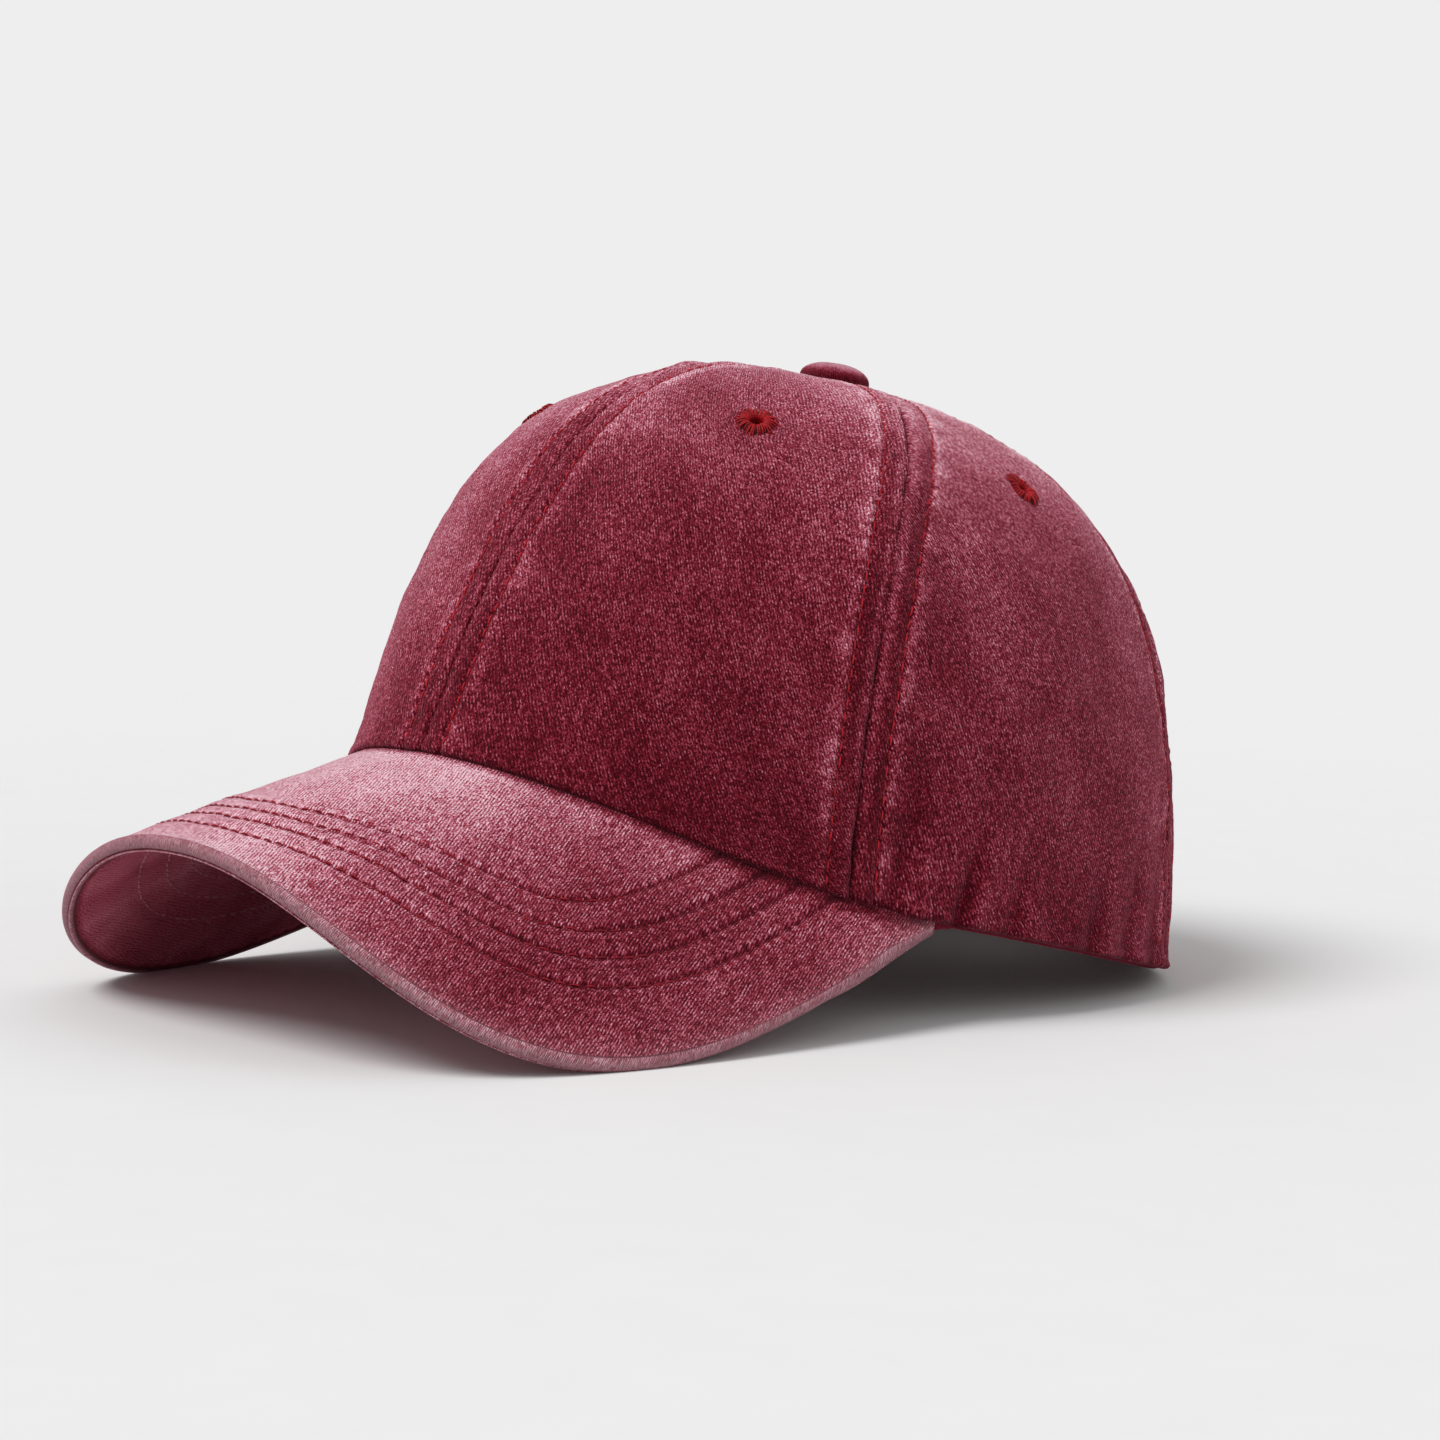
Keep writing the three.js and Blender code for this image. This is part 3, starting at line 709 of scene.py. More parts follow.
def shell(outer, inner, step, kept):
    """A closed body from a fine outer grid and a coarse inner one, with its faces pointing out."""
    rows, columns = outer.shape[:2]
    coarse_rows, coarse_columns = inner.shape[:2]
    points = np.concatenate([outer.reshape(-1, 3), inner.reshape(-1, 3)])
    fine_kept = np.repeat(np.repeat(kept, step, 0), step, 1)
    start = rows * columns
    faces = grid_faces(rows, columns, 0, fine_kept, False).tolist()
    faces += grid_faces(coarse_rows, coarse_columns, start, kept, True).tolist()
    faces += wall_faces(kept, step, columns, start, coarse_columns)
    return points, faces


def drop_loose(points, faces, attributes):
    used = np.zeros(len(points), bool)
    used[np.concatenate([np.asarray(face) for face in faces])] = True
    new_index = np.cumsum(used) - 1
    faces = [[int(new_index[i]) for i in face] for face in faces]
    return points[used], faces, {key: values[used] for key, values in attributes.items()}


def make_piece(name, points, faces, attributes, material, replaced=None, sharp=60):
    points, faces, attributes = drop_loose(points, faces, attributes)
    mesh = bpy.data.meshes.new(name)
    mesh.from_pydata(in_frame(points).tolist(), [], faces)
    for key, values in attributes.items():
        if values.ndim == 2:
            layer = mesh.attributes.new(key, "FLOAT_VECTOR", "POINT")
            layer.data.foreach_set("vector", values.astype(np.float32).ravel())
        else:
            layer = mesh.attributes.new(key, "FLOAT", "POINT")
            layer.data.foreach_set("value", values.astype(np.float32))
    mesh.shade_smooth()
    mesh.set_sharp_from_angle(angle=math.radians(sharp))
    mesh.materials.append(material)
    piece = bpy.data.objects.new(name, mesh)
    bpy.context.scene.collection.objects.link(piece)
    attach(piece, "root")
    if replaced:
        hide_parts(replaced)
    return piece


# Stitches

def tubes(paths, radius):
    """Closed tubes along many short paths with the same number of points, thinner at both ends."""
    count, length = paths.shape[:2]
    tangent = unit(np.gradient(paths, axis=1))
    bulge = paths[:, length // 2] - paths[:, 0]
    across = unit(np.cross(bulge, paths[:, -1] - paths[:, 0]))[:, None, :] + 0 * paths
    lift = unit(np.cross(across, tangent))
    fresh = rng.uniform(0.4, 1, count)[:, None, None]
    along = np.linspace(0, 1, length)
    thick = radius * np.clip(np.sin(math.pi * (0.08 + 0.84 * along)), 0.3, 1) ** 0.4
    turn = np.arange(THREAD_SIDES) * 2 * math.pi / THREAD_SIDES
    ring = np.cos(turn)[:, None] * across[:, :, None, :] + np.sin(turn)[:, None] * lift[:, :, None, :]
    points = paths[:, :, None, :] + ring * thick[:, None, None]
    faces = ring_faces(np.arange(count * length * THREAD_SIDES).reshape(count, length, THREAD_SIDES))
    run = arc_lengths(paths)[:, :, None] + 0 * turn
    cloth = np.stack([turn * radius + 0 * run, run, fresh + 0 * run], -1)
    return points.reshape(-1, 3), faces, cloth.reshape(-1, 3)


def stitch_paths(points, normals, lift=0.2, sink=0.5, gap=0.1):
    """One short arch of thread for each stitch along a line on the cloth."""
    run = arc_lengths(points)
    count = stitch_count(run[-1])
    along = np.linspace(0, 1, 7)
    start = (np.arange(count)[:, None] + gap + (1 - 2 * gap) * along) * (run[-1] / count)
    centre = np.stack([np.interp(start, run, points[:, k]) for k in range(3)], -1)
    normal = unit(np.stack([np.interp(start, run, normals[:, k]) for k in range(3)], -1))
    side = unit(np.cross(np.gradient(centre, axis=1), normal))
    arch = lift - (lift + sink) * (np.abs(2 * along - 1) ** 3)
    wobble = rng.normal(0, 0.07, (count, 1)) + rng.normal(0, 0.09, (count, 1)) * (2 * along - 1)
    return centre + normal * arch[:, None] + side * wobble[..., None]


def join_parts(parts):
    points, faces, cloth = [], [], []
    offset = 0
    for part_points, part_faces, part_cloth in parts:
        points.append(part_points)
        faces += [[i + offset for i in face] for face in part_faces]
        cloth.append(part_cloth)
        offset += len(part_points)
    return np.concatenate(points), faces, np.concatenate(cloth)


def thread_piece(name, lines, material, **stitch):
    parts = [tubes(stitch_paths(points, normals, **stitch), THREAD_RADIUS) for points, normals in lines]
    points, faces, cloth = join_parts(parts)
    return make_piece(name, points, faces, {"cloth": cloth}, material, sharp=180)


# Materials

class Nodes:
    """Short names for building a node tree."""

    def __init__(self, name):
        self.material = bpy.data.materials.new(name)
        self.material.use_nodes = True
        self.tree = self.material.node_tree
        self.shader = self.tree.nodes["Principled BSDF"]

    def put(self, target, value):
        if isinstance(value, bpy.types.NodeSocket):
            self.tree.links.new(value, target)
        else:
            target.default_value = value

    def node(self, kind, inputs=(), **settings):
        made = self.tree.nodes.new(kind)
        for key, value in settings.items():
            setattr(made, key, value)
        for key, value in dict(inputs).items():
            self.put(made.inputs[key], value)
        return made

    def math(self, operation, *values, clamp=False):
        made = self.node("ShaderNodeMath", operation=operation, use_clamp=clamp)
        for socket, value in zip(made.inputs, values):
            self.put(socket, value)
        return made.outputs[0]

    def attribute(self, name, output):
        return self.node("ShaderNodeAttribute", attribute_name=name).outputs[output]

    def noise(self, vector, size, detail=2.0, stretch=(1, 1, 1), roughness=0.5):
        """Noise with lumps of about the given size in millimetres."""
        scale = tuple(1 / (size * axis) for axis in stretch)
        moved = self.node("ShaderNodeMapping", {"Vector": vector, "Scale": scale}).outputs[0]
        inputs = {"Vector": moved, "Scale": 1.0, "Detail": detail, "Roughness": roughness}
        return self.node("ShaderNodeTexNoise", inputs).outputs["Fac"]

    def wave(self, value):
        """From 0 to 1 and back for each whole step of the value."""
        turned = self.math("COSINE", self.math("MULTIPLY", value, 2 * math.pi))
        return self.math("MULTIPLY_ADD", turned, 0.5, 0.5)

    def ramp(self, factor, stops):
        made = self.node("ShaderNodeValToRGB", {"Fac": factor})
        elements = made.color_ramp.elements
        while len(elements) < len(stops):
            elements.new(1.0)
        for element, (place, colour) in zip(elements, stops):
            element.position = place
            element.color = (*colour, 1)
        return made.outputs["Color"]

    def blend(self, share, first, second):
        made = self.node("ShaderNodeMix", {0: share, 6: first, 7: (*second, 1)}, data_type="RGBA")
        return made.outputs[2]

    def finish(self, colour, height, depth, roughness, specular, sheen, sheen_tint):
        """Links colour, bump and the constant sheen."""
        bump = self.node("ShaderNodeBump", {"Height": height, "Distance": depth * MM, "Strength": 1.0})
        self.put(self.shader.inputs["Base Color"], colour)
        self.put(self.shader.inputs["Normal"], bump.outputs["Normal"])
        self.put(self.shader.inputs["Roughness"], roughness)
        self.put(self.shader.inputs["Specular IOR Level"], specular)
        self.put(self.shader.inputs["Sheen Weight"], sheen)
        self.put(self.shader.inputs["Sheen Roughness"], 0.45)
        self.put(self.shader.inputs["Sheen Tint"], (*sheen_tint, 1))
        return self.material


# Washed burgundy, from the dark between the yarns to the bare pink of a worn ridge
BURGUNDY = (
    (0.0, (0.05, 0.001, 0.004)),
    (0.22, (0.13, 0.005, 0.014)),
    (0.4, (0.25, 0.02, 0.04)),
    (0.58, (0.43, 0.085, 0.13)),
    (0.78, (0.7, 0.26, 0.345)),
    (1.0, (0.97, 0.7, 0.78)),
)
FLOAT_WIDE = 0.38
FLOAT_LONG = 0.48
TWILL_ACROSS = 0.86
TWILL_UP = 1.5
# Fibres and dust caught on the peak's rim, and painted sheen, greyer where the light grazes the peak on the
# wearer's right
DUST_AND_SHEEN = (0.4, 0.25, 0.275)
DUST_AND_SHEEN_SPREAD = 3.4
DUST_AND_SHEEN_START = -0.75


def twill_material(name, speckle=0.85, rib=0.14, slub=0.17, cloud=0.22, sheen=0.24, fade_shift=0.0):
    """Washed cotton twill: uneven floats in steep ribs, salt-and-pepper fading and soft clouds."""
    n = Nodes(name)
    cloth = n.attribute("cloth", "Vector")
    fade = n.attribute("fade", "Fac")
    grainy = n.attribute("grainy", "Fac")
    parts = n.node("ShaderNodeSeparateXYZ", {"Vector": cloth})
    across, up = parts.outputs["X"], parts.outputs["Y"]
    drift = n.noise(cloth, 5.0, 2.0)
    phase = n.math("ADD", n.math("DIVIDE", across, TWILL_ACROSS), n.math("DIVIDE", up, TWILL_UP))
    phase = n.math("ADD", phase, drift)
    ribs = n.wave(phase)
    column = n.math("DIVIDE", across, FLOAT_WIDE)
    step = n.math("MULTIPLY_ADD", column, 0.4, n.math("DIVIDE", up, FLOAT_LONG))
    place = n.node("ShaderNodeCombineXYZ", {"X": column, "Y": step}).outputs[0]
    floats = n.node("ShaderNodeTexVoronoi", {"Vector": place, "Scale": 1.0, "Randomness": 0.9})
    body = n.math("SUBTRACT", 0.85, floats.outputs["Distance"])
    chance = n.node("ShaderNodeSeparateColor", {"Color": floats.outputs["Color"]}).outputs["Red"]
    grain = n.noise(cloth, 0.38, 2.0, (1, 1.15, 1), 0.6)
    slubs = n.noise(cloth, 1.5, 3.0, (0.9, 1.3, 1), 0.6)
    clouds = n.noise(cloth, 17.0, 4.0, (1, 1.3, 1), 0.6)
    speck = n.math("MULTIPLY", n.math("SUBTRACT", grain, 0.5), speckle * 1.1)
    weights = ((chance, 0.5, speckle * 0.5), (body, 0.4, speckle * 0.5), (ribs, 0.5, rib), (slubs, 0.5, slub))
    for value, middle, weight in weights:
        speck = n.math("MULTIPLY_ADD", n.math("SUBTRACT", value, middle), weight, speck)
    # The tone is the wash of the cloth together with painted light and shade, read from the vertices
    tone = n.math("MULTIPLY_ADD", speck, grainy, n.math("ADD", fade, fade_shift))
    tone = n.math("MULTIPLY_ADD", n.math("SUBTRACT", clouds, 0.5), cloud * 2, tone, clamp=True)
    # Grey of dust and fibres, and of painted sheen, speckled by the grain
    dust_and_sheen_specks = n.math("MULTIPLY_ADD", grain, DUST_AND_SHEEN_SPREAD, DUST_AND_SHEEN_START)
    dust_and_sheen = n.math("MULTIPLY", n.attribute("dust_and_sheen", "Fac"), dust_and_sheen_specks, clamp=True)
    colour = n.blend(dust_and_sheen, n.ramp(tone, BURGUNDY), DUST_AND_SHEEN)
    height = n.math("MULTIPLY_ADD", ribs, 0.3, n.math("MULTIPLY", body, 0.9))
    height = n.math("MULTIPLY_ADD", grain, 0.8, height)
    height = n.math("MULTIPLY_ADD", slubs, 0.5, height)
    return n.finish(colour, height, 0.28, 0.95, 0.06, sheen, (1.0, 0.34, 0.46))


def thread_material(name, bright, dark):
    """Two-ply sewing thread: slanting plies and a soft gloss, fresher where the Z of "cloth" is near one, and
    dark where it is zero, which paints shade on the eyelet's padded core between its threads.
    """
    n = Nodes(name)
    cloth = n.attribute("cloth", "Vector")
    parts = n.node("ShaderNodeSeparateXYZ", {"Vector": cloth})
    turn = n.math("DIVIDE", parts.outputs["X"], math.pi * THREAD_RADIUS)
    plies = n.wave(n.math("ADD", turn, n.math("DIVIDE", parts.outputs["Y"], THREAD_TWIST)))
    patches = n.noise(cloth, 1.4, 2.0)
    tone = n.math("MULTIPLY_ADD", plies, 0.3, n.math("MULTIPLY_ADD", patches, 0.5, -0.15))
    tone = n.math("MULTIPLY_ADD", parts.outputs["Z"], 0.55, tone, clamp=True)
    colour = n.ramp(tone, ((0.25, dark), (0.85, bright)))
    return n.finish(colour, plies, 0.05, 0.5, 0.25, 0.05, (1.0, 0.3, 0.3))


CROWN_TWILL = twill_material("washed_twill_crown", rib=0.2)
PEAK_TWILL = twill_material("washed_twill_peak", rib=0.34, slub=0.36, cloud=0.24)
BAND_COTTON = twill_material("band_cotton", speckle=0.3, rib=0.1, cloud=0.1, sheen=0.1, fade_shift=0.08)
RED_THREAD = thread_material("red_thread", (0.6, 0.008, 0.018), (0.07, 0.001, 0.003))
SEAM_THREAD = thread_material("seam_thread", (0.58, 0.01, 0.024), (0.12, 0.002, 0.006))
WASHED_THREAD = thread_material("washed_thread", (0.34, 0.006, 0.018), (0.1, 0.002, 0.006))
UNDER_THREAD = thread_material("under_thread", (0.6, 0.22, 0.26), (0.2, 0.05, 0.07))

# Crown panels

def crown_panel(piece):
    grid = PanelGrid(piece)
    grid.open_eyelet()
    inside = grid.inside()
    points, faces = shell(grid.outside(), inside, COARSE, grid.cells())
    cloth = flat_place(grid.at - grid.width[:, None] / 2, grid.up[:, None])
    fade = grid.fade()
    inner = np.ones(inside.shape[:2]).ravel()
    attributes = {
        "cloth": np.concatenate([part.reshape(-1, 3) for part in (cloth, cloth[::COARSE, ::COARSE])]),
        "fade": np.concatenate([fade.ravel(), 0.2 * inner]),
        "grainy": np.concatenate([np.ones(fade.size), 0.45 * inner]),
    }
    name = piece["name"]
    make_piece(f"cloth_{name}", points, faces, attributes, CROWN_TWILL, f"panel_{name}")
    return grid


def crown_stitches(grids):
    lines = []
    for grid in grids:
        for from_right in (True, False):
            angle, share, sewn = grid.stitch_line(from_right)
            angle, share = angle[sewn], share[sewn]
            base, normal = crown_point(angle, share), level_normal(angle, share)
            height = 0.08 * grid.squeeze[sewn, 0] + crown_ground(base, angle, grid.up[sewn])
            lines.append((base + normal * height[:, None], normal))
    thread_piece("topstitch_crown", lines, SEAM_THREAD)


# Eyelets

def eyelet_threads(outside):
    """Arches of thread round the hole, from its edge out to uneven ends, as radius and height."""
    count = 40
    turn = (np.arange(count) + rng.uniform(-0.3, 0.3, count)) * 2 * math.pi / count
    reach, shorter, longer = (EYELET_RADIUS, -0.95, 0.35) if outside else (EYELET_BACK_RADIUS, -0.3, 0.2)
    end = reach + rng.uniform(shorter, longer, count)
    shares = np.array([0.0, 0.0, 0.1, 0.34, 0.66, 0.88, 1.0])
    heights = np.array([-1.1, 0.0, 0.58, 0.88, 0.72, 0.26, -0.4])
    radius = EYELET_HOLE + 0.12 + (end[:, None] - EYELET_HOLE) * shares
    height = heights * rng.uniform(0.8, 1.15, (count, 1))
    slant = turn[:, None] + rng.normal(0, 0.04, (count, 1)) * shares
    height = height if outside else -CLOTH_WALL - height
    return np.stack([radius * np.cos(slant), radius * np.sin(slant), height], -1)


def eyelet_core():
    """The padded ring under the threads, closed through the cloth."""
    profile = [(1.6, -2.2), (1.6, 0.1), (2.1, 0.58), (3.1, 0.6), (3.9, 0.1), (3.9, -0.2), (2.4, -0.3)]
    profile += [(2.4, -1.7), (3.2, -1.8), (3.1, -2.2), (2.2, -2.5)]
    sides = 48
    turn = np.arange(sides) * 2 * math.pi / sides
    rings = np.array([[(r * math.cos(t), r * math.sin(t), z) for t in turn] for r, z in profile])
    count = len(profile)
    index = np.arange(count * sides).reshape(count, sides)
    below = np.roll(index, -1, axis=0)
    quads = np.stack([index, np.roll(index, -1, axis=1), np.roll(below, -1, axis=1), below], -1)
    points = rings.reshape(-1, 3)
    # The core's Z of "cloth" is zero, so its thread material paints it dark: painted shade in the gaps
    # between the threads
    return points, quads.reshape(-1, 4)[:, ::-1].tolist(), points * np.array([1, 1, 0])


def place_on_crown(points, angle, share):
    normal = crown_normal(np.float64(angle), np.float64(share))
    turn = Vector((0, 0, 1)).rotation_difference(Vector(normal)).to_matrix()
    return points @ np.array(turn).T + crown_point(angle, share)


def eyelet(piece):
    parts = [eyelet_core()]
    for outside in (True, False):
        parts.append(tubes(eyelet_threads(outside), EYELET_THREAD))
    points, faces, cloth = join_parts(parts)
    points = place_on_crown(points, *piece["eyelet"])
    name = piece["name"]
    threads = {"cloth": cloth}
    make_piece(f"embroidery_{name}", points, faces, threads, RED_THREAD, f"eyelet_{name}", 70)


# Button

def button_profile():
    """Radius and height, from the shank's foot out under the rolled edge and over the dome."""
    profile = [(0, -2.7), (4.3, -2.7), (4.5, -2.3), (2.4, -2.1), (2.35, 0.6), (5.4, 0.75), (7.3, 0.95)]
    for turn in np.append(np.linspace(-0.9, 1.45, 22), (1.51, 1.55, math.pi / 2)):
        if turn < 0:
            radius, height = BUTTON_RADIUS - 0.9 * (1 - math.cos(turn)), 1.1
        else:
            radius, height = BUTTON_RADIUS * math.cos(turn) ** 0.8, BUTTON_HEIGHT - 1.4
        profile.append((radius, 2.1 + height * math.sin(turn)))
    return np.array(profile)


def covered_button():
    """A low dome of cloth gathered under its edge, on its shank."""
    profile = button_profile()
    sides = 96
    turn = np.arange(sides) * 2 * math.pi / sides
    pleats = 0.12 * np.cos(13 * turn) * bump_at(profile[:, 1:], 1.0, 1.1)
    r = profile[:, :1] + pleats * (profile[:, :1] > 4.5)
    points = np.stack([r * np.cos(turn), r * np.sin(turn), profile[:, 1:] + 0 * r], -1).reshape(-1, 3)
    faces = ring_faces(np.arange(r.size).reshape(r.shape)[1:-1])
    reach = arc_lengths(profile)[:, None]
    cloth = flat_place(reach * np.cos(turn), reach * np.sin(turn)).reshape(-1, 3)
    soft = points + unit(points + np.array([0, 0, 1e-3])) * (0.09 * lumps(points, 5, 31))[:, None]
    fade = 0.22 + 0.62 * smoothstep(1.8, BUTTON_HEIGHT, points[:, 2])
    attributes = {"cloth": cloth, "fade": fade, "grainy": 0.6 + 0 * fade}
    placed = soft + np.array([0, CROWN_TOP_BACK, CROWN_HEIGHT])
    make_piece("button_cover", placed, faces, attributes, CROWN_TWILL, "top_button")


# Peak

def bezier(p0, p1, p2, p3):
    t = np.linspace(0, 1, 300)[:, None]
    return (1 - t) ** 3 * p0 + 3 * (1 - t) ** 2 * t * p1 + 3 * (1 - t) * t * t * p2 + t**3 * p3


def peak_edge():
    """Outline of the wearer's left half of the peak, from its nose to its end on the hem."""
    wide = PEAK_WIDTH / 2
    nose = np.array([0, -HALF_LENGTH - PEAK_REACH])
    widest = np.array([wide, -PEAK_OUTLINE["widest_place"] * HALF_LENGTH])
    end = hem_plan(np.float64(PEAK_END))
    front = widest - np.array([0, PEAK_OUTLINE["front_handle"] * PEAK_REACH])
    first = bezier(nose, nose + np.array([PEAK_OUTLINE["nose_handle"] * wide, 0]), front, widest)
    back = widest + np.array([0, PEAK_OUTLINE["back_handle"] * PEAK_REACH])
    second = bezier(widest, back, end + unit(widest - end) * PEAK_OUTLINE["end_handle"] * PEAK_REACH, end)
    return np.concatenate([first, second[1:]])


EDGE = peak_edge()
EDGE_RUN = arc_lengths(EDGE)


def edge_at(angle):
    run = np.minimum(np.abs(angle) / PEAK_END, 1) * EDGE_RUN[-1]
    x = np.interp(run, EDGE_RUN, EDGE[:, 0]) * np.where(angle < 0, -1, 1)
    return np.stack([x, np.interp(run, EDGE_RUN, EDGE[:, 1])], -1)


def peak_normal(x, y):
    droop = PEAK_DROOP * PEAK_DROOP_POWER / HALF_WIDTH
    fall = droop * np.abs(x / HALF_WIDTH) ** (PEAK_DROOP_POWER - 1) * np.sign(x)
    return unit(np.stack([fall, -PEAK_SLOPE + 0 * x, 1 + 0 * x], -1))


def peak_taper(angle):
    share = smoothstep(PEAK_TAPER_FROM, 1, np.abs(angle) / PEAK_END)
    return 1 + (PEAK_END_THICK / PEAK_THICK - 1) * share


def peak_surface(plan, depth_share=0, slant=0):
    """Points on the peak above a place in plan, or this share of its thickness down."""
    x, y = plan[..., 0], plan[..., 1]
    normal = peak_normal(x, y)
    top = np.stack([x, y, peak_top(x, y)], -1)
    down = np.stack([0 * x, 0 * x, -PEAK_THICK / normal[..., 2]], -1)
    square = -PEAK_THICK * normal
    slant = np.asarray(slant)[..., None]
    return top + (down * (1 - slant) + square * slant) * np.asarray(depth_share)[..., None]


RIM = np.concatenate([EDGE[::-1] * np.array([-1, 1]), EDGE[1:]])
RIM_3D = peak_surface(RIM)
RIM_RUN = arc_lengths(RIM_3D) - arc_lengths(RIM_3D)[-1] / 2

# Rows of stitches on the peak: distance in from the rim at the nose, at the flanks and at the ends
PEAK_ROWS = ((11.0, 18.6, 16.8), (16.6, 26.0, 23.4), (21.2, 32.6, 29.6), (26.2, 39.8, 37.5))
ROW_RUNS = (0, 74, 155)


# Row of the rim's profile along which the length of the weave is measured
RIM_MEASURED = 7

# The grey of dust and painted sheen on the rim, by share of the thickness down
RIM_DUST_AND_SHEEN_PLACES = (0, 0.06, 0.2, 0.72, 0.78, 1)
RIM_DUST_AND_SHEEN = (0.3, 0.4, 0.62, 0.62, 0.0, 0.35)

# Round the rim: share of the thickness down, share of the rounding out, and wash with painted light and
# shade, darker down the band and in the notch under it
RIM_PROFILE = np.array([
    (0.005, 0.14, 0.66),
    (0.02, 0.3, 0.66),
    (0.05, 0.47, 0.64),
    (0.1, 0.65, 0.62),
    (0.17, 0.82, 0.58),
    (0.27, 0.94, 0.5),
    (0.4, 1.0, 0.43),
    (0.53, 0.99, 0.38),
    (0.64, 0.93, 0.36),
    (0.72, 0.82, 0.32),
    (0.77, 0.66, 0.2),
    (0.8, 0.56, 0.1),
    (0.83, 0.66, 0.44),
    (0.87, 0.78, 0.72),
    (0.92, 0.8, 0.76),
    (0.96, 0.64, 0.5),
    (0.99, 0.34, 0.16),
])


def row_distance(row, run):
    return soft_table(np.abs(run), (*ROW_RUNS, FAR), (*row, row[-1]))


def rim_distance(points):
    """Distance from the rim, and the place along it that is nearest."""
    flat = points.reshape(-1, 3)
    distance = np.empty(len(flat))
    nearest = np.empty(len(flat), int)
    for start in range(0, len(flat), 4000):
        part = flat[start : start + 4000]
        square = ((part[:, None, :] - RIM_3D[None, ::2]) ** 2).sum(-1)
        nearest[start : start + 4000] = square.argmin(1) * 2
        distance[start : start + 4000] = np.sqrt(square.min(1))
    shape = points.shape[:-1]
    return distance.reshape(shape), RIM_RUN[nearest].reshape(shape)


def row_beat(row, run):
    """The needle holes of a row, by the place along the rim."""
    line, sewn = peak_row_plan(row)
    places = RIM_RUN[sewn]
    phase = np.interp(run, places, stitch_phase(arc_lengths(peak_surface(line))))
    on_row = smoothstep(places[0], places[0] + 2, run) * smoothstep(places[-1], places[-1] - 2, run)
    return on_row * needle_beat(phase)


def peak_soft(points):
    """Soft unevenness of the peak, which the stitches follow too."""
    return uneven(points, PEAK_LUMPS)


def peak_relief(distance, run):
    """Sunk stitch rows and the soft rolls between them."""
    total = 0
    for row in PEAK_ROWS:
        away = distance - row_distance(row, run)
        sunk = (0.36 - 0.06 * row_beat(row, run)) * bump_at(away, 0, 0.6)
        total = total - sunk + 0.12 * bump_at(np.abs(away), 1.9, 1.2)
    return total


def peak_row_shade_and_specks(distance, run):
    """Painted shade in the sunk thread channels, lighter at the needle holes, with pale specks beside them.
    """
    total = 0
    for row in PEAK_ROWS:
        away = distance - row_distance(row, run)
        beat = row_beat(row, run)
        total = total - (0.36 - 0.24 * beat) * bump_at(away, 0, 0.5)
        total = total + 0.22 * beat * bump_at(np.abs(away), 1.2, 0.6)
    return total


def peak_top_wash_and_light(x, from_hem, distance, run):
    """Palest ahead of the crown and at the rim, darker to the wearer's left and where it is sewn. Painted
    light ahead of the crown, where the peak faces up, and on the wearer's right; painted shade on the
    wearer's left, and a painted shadow along the hem.
    """
    fade = 0.54 + 0.32 * bump_at(x, 0, 46) + 0.08 * smoothstep(15, -70, x) - 0.22 * smoothstep(15, 62, x)
    fade = fade + 0.14 * np.exp(-from_hem / 12) - 0.4 * bump_at(from_hem, 0, 1.2)
    fade = fade + 0.26 * np.exp(-distance / 3.2) - 0.06 * bump_at(distance, 24, 9)
    return fade + peak_row_shade_and_specks(distance, run)


def peak_cloth(points):
    """Place on the flat cloth: across the peak and back from its nose."""
    x, y = points[..., 0], points[..., 1]
    fine = np.linspace(0, PEAK_WIDTH / 2 + 4, 400)
    run = arc_lengths(np.stack([fine, peak_top(fine, 0 * fine)], -1))
    return flat_place(np.interp(np.abs(x), fine, run) * np.sign(x), y * math.hypot(1, PEAK_SLOPE))


def peak_sheet(points, fade, grainy=1.0, dust_and_sheen=0.0, cloth=None):
    """Rows of the peak's points, with what its material reads at each."""
    cloth = peak_cloth(points) if cloth is None else cloth
    return points, cloth, *(np.broadcast_to(value, points.shape[:-1]) for value in (fade, grainy, dust_and_sheen))


